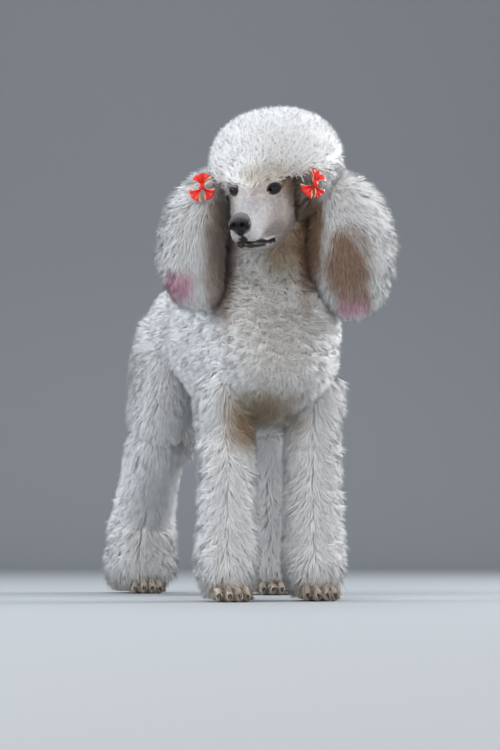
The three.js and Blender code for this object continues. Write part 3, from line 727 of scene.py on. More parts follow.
# One skin: body, head, lids and four feet.
pieces = [(bodyPoints, bodyQuads), (onHead(headPoints), headQuads), (onHead(rimPoints), rimQuads)]
for end, name, spot, scale in pawSpots:
    pieces.append((pawPoints * scale + np.array(spot), pawQuads))
starts = np.cumsum([0] + [len(p) for p, _ in pieces])
skinPoints = np.vstack([p for p, _ in pieces])
skin = fastMesh("skin", skinPoints, np.vstack([q + starts[i] for i, (_, q) in enumerate(pieces)]))
for key, values in markingsAndShade(skinPoints).items():
    mark(skin.data, key, values)
marks = faceMarks(np.vstack([headPoints, rimPoints]))
marks["rim"][len(headPoints):] = 1
marks["bareFace"] = 1
for key, values in marks.items():
    whole = np.zeros(len(skinPoints))
    whole[starts[1]:starts[3]] = values
    mark(skin.data, key, whole)
mark(skin.data, "foot", np.arange(len(skinPoints)) >= starts[3])
fit(skin, "skin", "head", "jaw", *[f"{end}paw_{name}" for end in ("fore", "hind") for name in sides])
say("skin ready")


# Materials
class Wire:  # a socket that takes part in sums
    def __init__(self, paint, socket):
        self.paint, self.socket = paint, socket

    def __add__(self, other):
        return self.paint.maths("ADD", self, other)

    def __radd__(self, other):
        return self.paint.maths("ADD", other, self)

    def __sub__(self, other):
        return self.paint.maths("SUBTRACT", self, other)

    def __rsub__(self, other):
        return self.paint.maths("SUBTRACT", other, self)

    def __mul__(self, other):
        return self.paint.maths("MULTIPLY", self, other)

    def __rmul__(self, other):
        return self.paint.maths("MULTIPLY", other, self)

    def __pow__(self, other):
        return self.paint.maths("POWER", self, other)


class Paint:  # a material and its nodes
    def __init__(self, name, **constants):
        self.material = bpy.data.materials.new(name)
        self.material.use_nodes = True
        self.tree = self.material.node_tree
        self.tree.nodes.clear()
        self.shader = self.node("ShaderNodeBsdfPrincipled", constants)
        self.output = self.node("ShaderNodeOutputMaterial", {"Surface": self.shader["BSDF"]})

    def node(self, kind, inputs=None, stops=None, **settings):
        made = self.tree.nodes.new(kind)
        for key, value in settings.items():
            setattr(made, key, value)
        if stops:
            ramp = made.color_ramp
            while len(ramp.elements) < len(stops):
                ramp.elements.new(0.5)
            for element, (place, colour) in zip(ramp.elements, stops):
                element.position, element.color = place, (*colour, 1)
        for key, value in (inputs or {}).items():
            socket = made.inputs[key]
            if isinstance(value, Wire):
                self.tree.links.new(value.socket, socket)
            elif hasattr(value, "__len__") and len(value) == 3 and socket.type == "RGBA":
                socket.default_value = (*value, 1)
            else:
                socket.default_value = value
        return {s.name: Wire(self, s) for s in made.outputs} | {"node": made}

    def maths(self, operation, a, b=0.0, clamp=False):
        return self.node("ShaderNodeMath", {0: a, 1: b}, operation=operation, use_clamp=clamp)["Value"]

    def value(self, name):  # one of the marks on the mesh
        return self.node("ShaderNodeAttribute", attribute_name=name)["Fac"]

    def blend(self, factor, a, b):
        made = self.tree.nodes.new("ShaderNodeMix")
        made.data_type = "RGBA"
        for socket, value in ((made.inputs["Factor"], factor), (made.inputs[6], a), (made.inputs[7], b)):
            if isinstance(value, Wire):
                self.tree.links.new(value.socket, socket)
            else:
                socket.default_value = (*value, 1) if hasattr(value, "__len__") else value
        return Wire(self, made.outputs[2])

    def noise(self, scale, detail=3, roughness=0.55, stretch=(1, 1, 1)):
        place = self.node("ShaderNodeTexCoord")["Object"]
        if stretch != (1, 1, 1):
            place = self.node("ShaderNodeVectorMath", {0: place, 1: stretch}, operation="MULTIPLY")["Vector"]
        return self.node("ShaderNodeTexNoise", {"Vector": place, "Scale": scale, "Detail": detail,
                                                "Roughness": roughness})["Fac"]

    def bump(self, height, strength, distance):
        normal = self.node("ShaderNodeBump", {"Height": height, "Strength": strength, "Distance": distance})["Normal"]
        self.feed("Normal", normal)

    def feed(self, name, value):
        self.tree.links.new(value.socket, self.shader["node"].inputs[name])

    def on(self, *objects):
        for o in objects:
            o.data.materials.clear()
            o.data.materials.append(self.material)
        return self


coatTones = {"root": (0.80, 0.775, 0.74), "tip": (0.93, 0.925, 0.92), "brownAndShade": (0.41, 0.235, 0.145),
             "brownDeep": (0.23, 0.12, 0.07),
             "pink": (0.74, 0.40, 0.50), "beigeAndShade": (0.46, 0.375, 0.26), "cream": (0.76, 0.69, 0.54)}


def markedShadedCoat(paint, colour):  # the markings and painted shade over a plain coat colour
    brownAndShade = paint.blend(paint.noise(160), coatTones["brownDeep"], coatTones["brownAndShade"])
    colour = paint.blend(paint.value("cream"), colour, coatTones["cream"])
    colour = paint.blend(paint.value("beigeAndShade"), colour, coatTones["beigeAndShade"])
    colour = paint.blend(paint.value("brownAndShade") * 0.92, colour, brownAndShade)
    return paint.blend(paint.value("pink"), colour, coatTones["pink"])


coatPaint = Paint("coat", **{"Roughness": 0.78, "Specular IOR Level": 0.2, "Sheen Weight": 0.12,
                             "Sheen Roughness": 0.5})
# Each tuft is painted darker and warmer towards its root: painted shade deep in the coat.
tipward = coatPaint.value("tip")
coatBase = coatPaint.blend(tipward ** 0.55, coatTones["root"], coatTones["tip"])
coatBase = coatPaint.blend(coatPaint.value("tone") * 0.14, coatBase, (0.80, 0.765, 0.73))
coatPaint.feed("Base Color", markedShadedCoat(coatPaint, coatBase))
coatPaint.feed("Roughness", 0.68 + 0.14 * coatPaint.value("tone"))

# grey paints a bluish shade on the muzzle.
skinTones = {"fur": (0.52, 0.485, 0.465), "pink": (0.44, 0.34, 0.305), "grey": (0.30, 0.31, 0.345),
             "tan": (0.32, 0.20, 0.115), "shade": (0.13, 0.083, 0.052),
             "dark": (0.016, 0.012, 0.011), "tear": (0.42, 0.32, 0.25), "toe": (0.50, 0.41, 0.35),
             "under": (0.80, 0.77, 0.74), "chin": (0.36, 0.28, 0.21)}


def furColour(paint, blotch, grain):  # pale fur over pink skin, with a painted bluish shade on the bridge, and tan stains that are partly painted shade on the side of the face
    tone = paint.blend(paint.maths("MULTIPLY", blotch - 0.42, 2.4, clamp=True), skinTones["fur"], skinTones["pink"])
    tone = paint.blend(paint.value("grey") * (0.4 + 0.7 * blotch), tone, skinTones["grey"])
    tone = paint.blend(grain * 0.3, tone, (0.70, 0.67, 0.65))
    tone = paint.blend(paint.value("tan") * (0.5 + 0.7 * grain), tone, skinTones["tan"])
    tone = paint.blend(paint.value("chin") * 0.75, tone, skinTones["chin"])
    tone = paint.blend(paint.value("shade"), tone, skinTones["shade"])
    return paint.blend(paint.value("tear") * 0.5, tone, skinTones["tear"])


skinPaint = Paint("skin", **{"Roughness": 0.62, "Specular IOR Level": 0.3})
mottle = skinPaint.noise(38, 4)
fine = skinPaint.noise(420, 4, 0.6)
furTone = furColour(skinPaint, mottle, fine)
dark = skinPaint.maths("MAXIMUM", skinPaint.value("rim"), skinPaint.value("lip"))
dark = skinPaint.maths("MAXIMUM", dark, skinPaint.value("nose") * 0.8)
furTone = skinPaint.blend(dark, furTone, skinTones["dark"])
under = markedShadedCoat(skinPaint, skinPaint.blend(0.0, skinTones["under"], skinTones["under"]))
footTone = skinPaint.blend(mottle, skinTones["toe"], (0.56, 0.46, 0.41))
allTone = skinPaint.blend(skinPaint.value("bareFace"), under, furTone)
skinPaint.feed("Base Color", skinPaint.blend(skinPaint.value("foot"), allTone, footTone))
skinPaint.feed("Roughness", 0.66 - 0.14 * dark)
skinPaint.bump(fine * 0.6 + skinPaint.noise(1400, 2) * 0.4, 0.35, 0.0006)
skinPaint.on(skin)

facePaint = Paint("faceFur", **{"Roughness": 0.7, "Specular IOR Level": 0.25})
faceTone = furColour(facePaint, facePaint.noise(38, 4), facePaint.value("tone"))
# The face fur is painted darker towards its roots: painted shade between the hairs.
facePaint.feed("Base Color", facePaint.blend(0.45 - 0.45 * facePaint.value("tip") ** 0.6, faceTone,
                                             (0.12, 0.09, 0.075)))
facePaint.feed("Roughness", 0.6 + 0.2 * facePaint.value("tone"))

# Nose leather
noseLeather = {"step": 0.8, "black": (0.008, 0.006, 0.006), "dryAndSheen": (0.17, 0.14, 0.145)}
noseClay = Clay((-22, -138, -56), (22, -98, -8), noseLeather["step"])
noseClay.apply(ellipsoidField((0, -118, -26), (16, 12.5, 11)), 3)
noseClay.apply(ellipsoidField((0, -112, -22), (13.5, 12, 10)), 4)
noseClay.apply(ellipsoidField((0, -115, -37), (8, 8, 11)), 4)
for side in (1, -1):
    noseClay.apply(ellipsoidField((side * 10, -121, -29), (7.5, 9, 7.5)), 3)  # wing
    noseClay.apply(ellipsoidField((side * 7.6, -131, -27.5), (3.6, 8, 3.4), (0, side * 0.5, side * 0.5)), 2, carve=True)
    slot = [(side * 9.5, -130, -29, 1.5, 1.3), (side * 14.5, -124, -31, 1.3, 1.2), (side * 17.5, -116, -31, 1, 0.9)]
    noseClay.apply(tubeField(slot), 1.4, carve=True)
philtrum = [(0, -131, -26, 0.9, 1.6), (0, -126.5, -36, 0.9, 1.6), (0, -122, -47, 0.9, 1.6)]
noseClay.apply(tubeField(philtrum), 1.6, carve=True)
nosePoints, noseQuads = noseClay.surface()
nose = fastMesh("noseLeather", onHead(nosePoints), noseQuads)
mark(nose.data, "above", smooth(-25, -17, nosePoints[:, 2]) * smooth(-132, -120, nosePoints[:, 1]))
nosePaint = Paint("noseLeather", **{"Roughness": 0.38, "Specular IOR Level": 0.3})
place = nosePaint.node("ShaderNodeTexCoord")["Object"]
pebble = nosePaint.node("ShaderNodeTexVoronoi", {"Vector": place, "Scale": 1100})["Distance"]
# The top of the nose leather is lighter: partly its own dry greyish-pink leather, partly a painted reflection of the
# sky.
grey = nosePaint.value("above") * (0.6 + 0.4 * nosePaint.noise(300))
nosePaint.feed("Base Color", nosePaint.blend(grey, noseLeather["black"], noseLeather["dryAndSheen"]))
nosePaint.feed("Roughness", 0.3 + 0.25 * pebble)
nosePaint.bump(pebble, 0.3, 0.0006)
nosePaint.on(nose)
fit(nose, "nose_leather", "nose")

# Eyes
eyePaint = Paint("eye", **{"Roughness": 0.04, "Specular IOR Level": 0.3, "Coat Weight": 0.7, "Coat Roughness": 0.02})
centreward = eyePaint.value("iris")
streak = eyePaint.noise(900, 2)
irisTone = eyePaint.blend(streak, (0.012, 0.006, 0.004), (0.032, 0.015, 0.008))
irisTone = eyePaint.blend(eyePaint.maths("GREATER_THAN", centreward, 0.86), irisTone, (0.002, 0.002, 0.002))
irisTone = eyePaint.blend(eyePaint.maths("LESS_THAN", centreward, 0.36), irisTone, (0.05, 0.032, 0.026))
eyePaint.feed("Base Color", irisTone)
for name, side in sides.items():
    v = np.linspace(0, np.pi, 33)[1:-1]
    u = np.arange(48) / 48 * 2 * np.pi
    uu, vv = np.meshgrid(u, v)
    gaze = eyeAxes(side)[0]
    local = np.stack([np.sin(vv) * np.cos(uu), np.sin(vv) * np.sin(uu), np.cos(vv)], -1).reshape(-1, 3)
    local = np.vstack([local, (0, 0, 1), (0, 0, -1)])
    look = unit(gaze + np.array((-side * 0.25, -0.1, 0.0)))  # a little further forward than the lids open
    acrossEye = unit(np.cross(look, (0, 0, 1)))
    upEye = np.cross(acrossEye, look)
    bulge = 1 + 0.045 * smooth(0.8, 1.0, local[:, 2])
    points = (local * bulge[:, None]) @ np.stack([acrossEye, upEye, look]) * face["eyeRadius"]
    points = points + eyePlace(side)
    quads, caps = shellFaces(len(v), 48)
    ball = fastMesh(f"eyeball_{name}", onHead(points), quads[:, ::-1], caps[:, ::-1])
    mark(ball.data, "iris", smooth(0.55, 1.0, local[:, 2]))
    eyePaint.on(ball)
    fit(ball, "eye", f"eye_{name}")

# Claws
clawPaint = Paint("claw", **{"Roughness": 0.35, "Specular IOR Level": 0.5})
clawPaint.feed("Base Color", clawPaint.blend(clawPaint.noise(260, 3, 0.5, (1, 0.3, 1)), (0.012, 0.009, 0.009),
                                             (0.10, 0.07, 0.06)))
for end, name, spot, scale in pawSpots:
    shells = []
    for i, reach in enumerate(paw["reach"]):
        x = (i - 1.5) * paw["pitch"] * 1.12
        curve = [(x, -reach + 8, 12, 2.6, 3.2), (x, -reach - 3, 10.5, 2.6, 3.2), (x, -reach - 10, 7, 2.0, 2.5),
                 (x, -reach - 15, 2.2, 0.6, 0.8)]
        shells.append(Form(curve, cap=0.08).mesh(10, 12, 0))
    points, quads, caps = joined(shells)
    claws = fastMesh(f"claws_{end}_{name}", points * scale + np.array(spot), quads, caps)
    clawPaint.on(claws)
    fit(claws, "claw", *[f"{end}claw_{name}_{i}" for i in range(1, 5)])
say("nose, eyes and claws ready")

# Coat: closed tapered tufts, rooted on the skin, gathered into clumps that follow the lie
thin = 1.0


def scatter(form, grow, count, low=0.0, high=1.0):
    around, rings = 110, 150
    u, v = np.meshgrid((np.arange(around) + 0.5) / around, low + (np.arange(rings) + 0.5) / rings * (high - low))
    u, v = u.ravel(), v.ravel()
    du, dv = 0.4 / around, 0.4 * (high - low) / rings
    p = form.point(u, v, grow)
    area = np.linalg.norm(np.cross(form.point(u + du, v, grow) - p, form.point(u, v + dv, grow) - p), axis=1)
    total = np.cumsum(area)
    pick = np.searchsorted(total, (np.arange(count) + rng.uniform(size=count)) / count * total[-1])
    pick = np.minimum(pick, len(u) - 1)
    u = u[pick] + rng.uniform(-0.5, 0.5, count) / around
    v = np.clip(v[pick] + rng.uniform(-0.5, 0.5, count) * (high - low) / rings, 0.002, 0.998)
    p = form.point(u, v, grow)
    e = 1e-3
    aroundWay = form.point(u + e, v, grow) - form.point(u - e, v, grow)
    normal = unit(np.cross(aroundWay, form.point(u, v + e, grow) - form.point(u, v - e, grow)))
    place, along, _, _ = form.axes(v)
    if form.inHead:
        place, along = onHead(place), along @ headToDog[:3, :3].T
    deepest = form.axes(np.clip(v, 0.15, 0.85))[0]
    if form.inHead:
        deepest = onHead(deepest)
    normal = normal * np.sign((normal * (p - deepest)).sum(1, keepdims=True) + 1e-9)
    return dict(rooted(p, normal, u % 1, v), along=along, middle=place)


def facesOf(points, quads):  # corners, normals as long as the area, areas and middles
    corner = points[quads]
    cross = np.cross(corner[:, 2] - corner[:, 0], corner[:, 3] - corner[:, 1])
    return corner, cross, np.linalg.norm(cross, axis=1), corner.mean(1)


def strew(corner, cross, weight, count):  # roots on faces, denser where the weight is greater
    pick = np.searchsorted(np.cumsum(weight), np.sort(rng.uniform(0, weight.sum(), int(count * thin))))
    mix = rng.dirichlet((1, 1, 1, 1), len(pick))
    return (corner[pick] * mix[:, :, None]).sum(1), unit(cross[pick])


def rooted(root, normal, u, v):
    return {"root": root, "normal": normal, "u": u, "v": v, "long": np.ones(len(root)), "rise": np.ones(len(root))}


def sift(found, kept):
    return {key: value[kept] for key, value in found.items()}


def outOf(found, *others):  # leaves out roots that lie inside other parts of the body
    kept = np.ones(len(found["root"]), bool)
    for form, grow in others:
        kept &= ~form.inside(found["root"], grow)
    return sift(found, kept)


def outOfHead(found, rise, least):  # roots inside the head move out to its surface, and their tufts get shorter
    moved = np.zeros(len(found["root"]))
    for _ in range(7):
        far = clay.sample(inHeadFrame(found["root"]))
        step = np.where((far < 0) & (far > -60), np.maximum(-far, 0.5), 0)
        found["root"] = found["root"] + found["normal"] * step[:, None]
        moved += step
    found["rise"] = np.clip(1 - moved / rise, least / rise, 1)
    found["long"] = found["long"] * np.clip(1.15 - moved / rise, 0.45, 1)
    return sift(found, moved < rise + 4)


def along(vectors, normals):  # the part of each vector that lies along the surface
    return vectors - normals * (vectors * normals).sum(1, keepdims=True)


def growCoat(name, found, lie, spec, nodes, paint=None, marks=None):
    root, normal = found["root"], found["normal"]
    count = len(root)
    lie = unit(along(lie, normal))
    seeds = rng.permutation(count)[:max(1, int(count / spec["clump"]))]
    tree = KDTree(len(seeds))
    for i, k in enumerate(seeds):
        tree.insert(root[k], i)
    tree.balance()
    nearest = [tree.find(p)[1:] for p in root]
    owner = np.array([n[0] for n in nearest])
    far = np.array([n[1] for n in nearest])
    edge = np.clip(far / (1.6 * np.median(far) + 1e-6), 0, 1.2)
    gather = along(root[seeds][owner] - root, normal)
    gather = gather * np.minimum(1, 7 / (np.linalg.norm(gather, axis=1) + 1e-6))[:, None]
    phase = rng.uniform(0, 6.28, len(seeds))[owner] + rng.normal(0, 0.5, count)
    lean = rng.normal(size=(len(seeds), 3))[owner] * spec["stray"] + rng.normal(size=(count, 3)) * spec["stray"] * 0.5
    lie = unit(lie + along(lean, normal))
    side = np.cross(normal, lie)
    length = spec["length"] * np.clip(1 + 0.16 * rng.normal(size=count), 0.6, 1.4) * found["long"]
    ragged = rng.normal(size=len(seeds))[owner] + 0.6 * rng.normal(size=count)
    rise = spec["rise"] * found["rise"] + ragged * spec["uneven"]
    rise = np.maximum(rise - spec["dome"] * edge ** 2, 0.6)
    loose = rng.uniform(size=count) < spec.get("loose", 0.08)  # a few stand out and soften the outline
    rise = rise + loose * rng.uniform(0.1, 0.26, count) * spec["rise"]
    wide = np.ones(count)
    low = rng.uniform(size=count) < spec.get("under", 0)  # short, broad tufts that close the coat under the long ones
    rise[low] = (0.62 * spec["rise"] * found["rise"] + 0.8 * rng.normal(size=count))[low]
    wide[low] = 1.9
    turn = phase + spec["turns"] * 6.28
    foot = root - normal * spec["sink"]
    tip = (root + normal * rise[:, None] + lie * length[:, None] + gather * spec["pull"]
           + side * np.sin(turn)[:, None] * spec["curl"] + normal * (np.cos(turn) * 0.45 - 0.45)[:, None]
           * spec["curl"])
    foot[:, 2], tip[:, 2] = np.maximum(foot[:, 2], 3), np.maximum(tip[:, 2], 3)
    ahead = unit(tip - foot)
    s1 = unit(np.cross(ahead, normal))
    s2 = np.cross(ahead, s1)
    width = spec["width"] * np.clip(1 + 0.2 * rng.normal(size=count), 0.6, 1.6) * wide
    points, facing = np.empty((count, 4, 3)), np.empty((count, 4, 3))
    for j, angle in enumerate(np.arange(3) * 2 * np.pi / 3 + np.pi / 2):
        facing[:, j] = s1 * math.cos(angle) + s2 * math.sin(angle) * spec["flat"]
        points[:, j] = foot + facing[:, j] * (width / 2)[:, None]
    points[:, 3], facing[:, 3] = tip, ahead
    # Shaded as the coat's own surface, swelling a little over each clump
    hub = root[seeds][owner] - normal * spec["round"]
    shade = spec["shade"]
    normals = unit(shade[0] * normal[:, None] + shade[1] * unit(points - hub[:, None]) + shade[2] * unit(facing))
    tuftFaces = np.array([(0, 1, 3), (1, 2, 3), (2, 0, 3), (2, 1, 0)])
    tris = ((np.arange(count) * 4)[:, None, None] + tuftFaces).reshape(-1, 3)
    made = fastMesh(name, points.reshape(-1, 3), triangles=tris, normals=normals.reshape(-1, 3))
    mark(made.data, "tip", np.tile([0.0, 0.0, 0.0, 1.0], count))
    tone = np.clip(0.5 + 0.25 * rng.normal(size=len(seeds))[owner] + 0.2 * rng.normal(size=count), 0, 1)
    for key, values in dict(markingsAndShade(tip) if marks is None else marks, tone=tone).items():
        mark(made.data, key, np.repeat(values, 4))
    layer = made.data.uv_layers.new(name="OFBake")
    patchUv = np.array([(-1.2e-3, -1.5e-3), (0, -1.5e-3), (1.2e-3, -1.5e-3), (0, 1.5e-3)])
    uv = (np.stack([0.004 + 0.992 * found["u"], 0.004 + 0.992 * found["v"]], 1)[:, None] + patchUv).reshape(-1, 2)
    layer.data.foreach_set("uv", uv[tris.ravel()].astype(np.float32).ravel())
    (paint or coatPaint).on(made)
    fit(made, "coat", *nodes)
    say(f"{name}: {count} tufts, {count * 4} triangles")
    return made


down = np.array((0, 0, -1.0))
tufts = {"chest": 48000, "ribs": 26500, "loin": 26000, "neck": 47000, "foreleg": 24000, "thigh": 22000, "shank": 25000,
         "tail": 7500, "topknot": 58000, "ear": 23000, "face": 22000, "fringe": 7500, "foot": 2200, "between": 230000}
wool = {"length": 15, "rise": 15.5, "width": 3.0, "flat": 0.6, "clump": 26, "pull": 0.85, "curl": 1.6, "turns": 0.6,
        "stray": 0.45,
        "uneven": 0.8, "under": 0.3, "dome": 4.0, "sink": 2.5, "round": 9, "shade": (0.5, 0.6, 0.12)}
fleece = dict(wool, length=19, rise=14.5, dome=2.6, stray=0.35, clump=22, pull=0.6)
brushed = {"length": 26, "rise": 16.5, "width": 3.6, "flat": 0.5, "clump": 12, "pull": 0.5, "curl": 1.4, "turns": 0.5,
           "stray": 0.24,
           "uneven": 1.1, "under": 0.25, "dome": 2.0, "sink": 3, "round": 14, "shade": (0.6, 0.45, 0.16)}
puff = {"length": 20, "rise": 15.5, "width": 2.9, "flat": 0.6, "clump": 14, "pull": 0.45, "curl": 1.3, "turns": 0.5,
        "stray": 0.36,
        "uneven": 1.2, "under": 0.3, "loose": 0.14, "dome": 1.4, "sink": 2.5, "round": 20, "shade": (0.7, 0.4, 0.12)}
earHair = {"length": 30, "rise": 19, "width": 3.4, "flat": 0.5, "clump": 20, "pull": 0.6, "curl": 2.0, "turns": 0.7,
           "stray": 0.2,
           "uneven": 1.2, "under": 0.3, "dome": 1.8, "sink": 3, "round": 18, "shade": (0.6, 0.45, 0.16)}
tailHair = dict(brushed, length=34, rise=12.5, clump=18)
covered = []


def grow(name, found, lie, spec, nodes, paint=None, marks=None):
    covered.append(found["root"] + found["normal"] * 3)
    growCoat(name, found, lie, spec, nodes, paint, marks)


# Torso, in three pieces along the back.
legForms = [(limbs[n][k], -24) for n in sides for k in ("fore", "thigh")]
for name, low, high, share, kind in (("coat_chest", 0.0, 0.33, tufts["chest"], wool),
                                     ("coat_ribs", 0.33, 0.64, tufts["ribs"], fleece),
                                     ("coat_loin", 0.64, 1.0, tufts["loin"], fleece)):
    found = outOf(scatter(torso, -14, int(share * thin), low, high), *legForms, (neck, -26))
    lie = found["along"] * 0.45 + down * 0.6 + 0.25 * rng.normal(size=(len(found["root"]), 3))
    grow(name, found, lie, kind, ["torso"])

found = outOf(scatter(neck, -16, int(tufts["neck"] * thin), 0.0, 0.86), (torso, -22), (topknot, -24))
found = outOfHead(found, 15, 5)
local = inHeadFrame(found["root"])
found = sift(found, (local[:, 1] > 14) | (local[:, 2] < -84))
grow("coat_neck", found, found["along"] + 0.2 * rng.normal(size=(len(found["root"]), 3)), dict(wool, rise=16), ["neck"])


def parted(found, share):  # combed away from a line down the front of the leg, and downwards
    out = found["root"] - found["middle"]
    away = rightward[None] * np.sign(out @ rightward)[:, None]
    front = np.clip(-(found["normal"] @ forward), 0, 1)[:, None]
    hem = (1 - smooth(34, 84, found["root"][:, 2]))[:, None]
    found["long"] = found["long"] * (1 + 0.35 * hem[:, 0])
    combed = found["along"] + share * along(away, found["normal"]) * front * (1 - hem)
    return combed * (1 - 0.8 * hem) + down * 0.8 * hem + 0.12 * rng.normal(size=out.shape)


for name in sides:
    limb = limbs[name]
    found = outOf(scatter(limb["fore"], -17, int(tufts["foreleg"] * thin), 0.1, 0.97), (torso, -22))
    found = sift(found, found["root"][:, 2] > 22)
    grow(f"coat_foreleg_{name}", found, parted(found, 0.6), brushed, [f"foreleg_{name}"])
    found = outOf(scatter(limb["thigh"], -15, int(tufts["thigh"] * thin), 0.04, 0.97), (torso, -22),
                  (limb["shank"], -24))
    found["rise"] = found["rise"] * (1 - 0.5 * smooth(0.7, 0.96, found["v"]))
    lie = parted(found, 0.3) + found["along"] * 0.2
    grow(f"coat_thigh_{name}", found, lie, dict(brushed, length=24, rise=16), [f"thigh_{name}"])
    found = outOf(scatter(limb["shank"], -17, int(tufts["shank"] * thin), 0.08, 0.97), (limb["thigh"], -24))
    found = sift(found, found["root"][:, 2] > 22)
    hollow = np.clip(-(found["normal"] @ forward), 0, 1) * np.exp(-((found["root"][:, 2] - 152) / 42) ** 2)
    found["rise"] = found["rise"] * (1 + 0.5 * hollow)
    lie = parted(found, (0.2 + 0.35 * smooth(0.15, 0.6, found["v"]))[:, None])
    grow(f"coat_shank_{name}", found, lie, dict(brushed, rise=17.5), [f"shank_{name}"])

found = outOf(scatter(tail, -13, int(tufts["tail"] * thin), 0.1, 0.97), (torso, -20))
grow("coat_tail", found, found["along"] + 0.15 * rng.normal(size=(len(found["root"]), 3)), tailHair, ["tail"])


# Topknot: stands out all round, and ends in a line over the brow.
def browLine(local):
    return 7 + 0.16 * local[:, 0] + 1.5 * noise(local, 22)


found = scatter(topknot, -16, int(tufts["topknot"] * thin), 0.02, 1.0)
local = inHeadFrame(found["root"] + found["normal"] * 16)
kept = ((local[:, 2] > browLine(local)) | (local[:, 1] > topknotSize["temple"])) & ~neck.inside(found["root"], -20)
for name in sides:
    kept &= ~ears[name].inside(found["root"], -38)
found = outOfHead(sift(found, kept), 17, 6)
local = inHeadFrame(found["root"])
fall = 1 - smooth(-16, 14, local[:, 2] - browLine(local))  # the lowest hair hangs over the brow and the temples
loose = rng.normal(size=(len(found["root"]), 3)) * (0.7 - 0.45 * smooth(0, 0.4, fall))[:, None]
lie = along(down[None], found["normal"]) * (2 * fall - 1)[:, None] + np.array((0, 0.15, 0)) + loose
tips = inHeadFrame(found["root"] + found["normal"] * 14 + unit(along(lie, found["normal"])) * 20)
seeing = np.minimum(*[np.linalg.norm((tips - (eyePlace(s) - (0, 16, 1))) / (1, 1.3, 1), axis=1) for s in (1, -1)]) > 24
found, lie = sift(found, seeing), lie[seeing]  # none over the eyes
grow("coat_topknot", found, lie, puff, ["topknot"])

for name in sides:
    found = outOf(scatter(ears[name], -19, int(tufts["ear"] * thin), 0.02, 0.97), (topknot, -34), (neck, -20))
    found["long"] = (0.3 + 0.7 * smooth(0.0, 0.3, found["v"])) * (1 - 0.4 * smooth(0.7, 1.0, found["v"]))
    found = outOfHead(found, 19, 5)
    found["rise"] = found["rise"] * (0.5 + 0.5 * smooth(0.0, 0.2, found["v"]))
    lie = found["along"] + 0.1 * rng.normal(size=(len(found["root"]), 3))
    grow(f"coat_ear_{name}", found, lie, earHair, [f"ear_{name}"])

# Face: short fur lying back from the nose, and the topknot's fringe on the forehead.
faceFur = {"length": 8, "rise": 2.5, "width": 1.5, "flat": 0.5, "clump": 9, "pull": 0.5, "curl": 0.25, "turns": 0.3,
           "stray": 0.25,
           "uneven": 0.4, "dome": 0.3, "sink": 0.8, "round": 8, "shade": (0.75, 0.2, 0.25)}
corner, cross, area, middle = facesOf(headPoints, headQuads)
turnHead = headToDog[:3, :3].T


def onFace(weight, count):
    root, normal = strew(corner, cross, weight, count)
    normal = normal * np.sign((clay.sample(root + normal * 2) - clay.sample(root - normal * 2)))[:, None]
    u = np.arctan2(root[:, 0], root[:, 2] + 30) / 6.2832 + 0.5
    return root, rooted(onHead(root), normal @ turnHead, u, (root[:, 1] + 126) / 246)


shares = faceMarks(middle)
dark3 = np.maximum(np.maximum(shares["lip"], shares["rim"]), shares["nose"])
fringed = middle[:, 2] > browLine(middle)
furred = (dark3 < 0.2) * (middle[:, 1] < 116) * ~fringed
root, found = onFace(area * furred * np.where(middle[:, 1] > 0, 0.75, 1.0), tufts["face"])
nearEye = np.minimum(*[np.linalg.norm(root - (eyePlace(s) - (0, 8, 0)), axis=1) for s in (1, -1)])
nearNose = np.linalg.norm(root - (0, -116, -30), axis=1)
found["long"] = 0.6 + 0.9 * smooth(-60, 40, root[:, 1])
found["long"] = found["long"] * (0.35 + 0.65 * smooth(10, 24, nearEye)) * (0.35 + 0.65 * smooth(16, 40, nearNose))
found["rise"] = 0.6 + 1.2 * smooth(-40, 40, root[:, 1]) + 2.2 * smooth(40, 80, root[:, 1])
found["long"] = found["long"] * (1 + 0.8 * smooth(40, 80, root[:, 1]))
lie = np.stack([np.sign(root[:, 0]) * 0.35, np.ones(len(root)), np.where(root[:, 2] > -5, 0.45, -0.25)], 1)
grow("coat_face", found, lie @ turnHead, faceFur, ["head"], facePaint, faceMarks(root))

root, found = onFace(area * fringed * (middle[:, 1] < 92), tufts["fringe"])
found["rise"] = (0.35 + 0.65 * smooth(0, 16, root[:, 2] - browLine(root))) * (1 - 0.5 * smooth(40, 60, root[:, 1]))
lie = np.stack([root[:, 0] * 0.01, np.full(len(root), 0.1), np.ones(len(root))], 1) + 0.2 * rng.normal(size=root.shape)
grow("coat_fringe", found, lie @ turnHead, dict(puff, rise=13, length=17), ["topknot"])

# Feet: short fur over the toes.
corner, cross, area, middle = facesOf(pawPoints, pawQuads)
weight = area * (middle[:, 2] > 3.5) * (middle[:, 1] < 12)
for claw in (-1.5, -0.5, 0.5, 1.5):  # none on the claws' beds
    reach = paw["reach"][int(claw + 1.5)]
    bed = np.array((claw * paw["pitch"] * 1.12, -reach - 2, 10))
    weight = weight * (np.linalg.norm((middle - bed) / (4.2, 9, 5), axis=1) > 1)
footFur = dict(faceFur, length=12, rise=4.2, width=1.9, uneven=0.8, stray=0.3, sink=1.0)
roots, normals, us, vs = [], [], [], []
for k, (end, name, spot, scale) in enumerate(pawSpots):
    root, normal = strew(corner, cross, weight, tufts["foot"])
    normal = normal * np.sign((normal * (root - (0, -10, 12))).sum(1, keepdims=True))
    roots.append(root * scale + np.array(spot))
    normals.append(normal)
    us.append((np.arctan2(root[:, 0], root[:, 2] - 8) / 6.2832 + 0.5 + k) / 4)
    vs.append((root[:, 1] + 66) / 110)
root, normal = np.vstack(roots), np.vstack(normals)
lie = np.array((0, -0.55, -0.8)) + 0.2 * rng.normal(size=root.shape)
marks = dict(markingsAndShade(root), beigeAndShade=np.full(len(root), 0.85))
grow("coat_feet", rooted(root, normal, np.concatenate(us), np.concatenate(vs)), lie, footFur,
     [f"{end}paw_{name}" for end in ("fore", "hind") for name in sides], marks=marks)

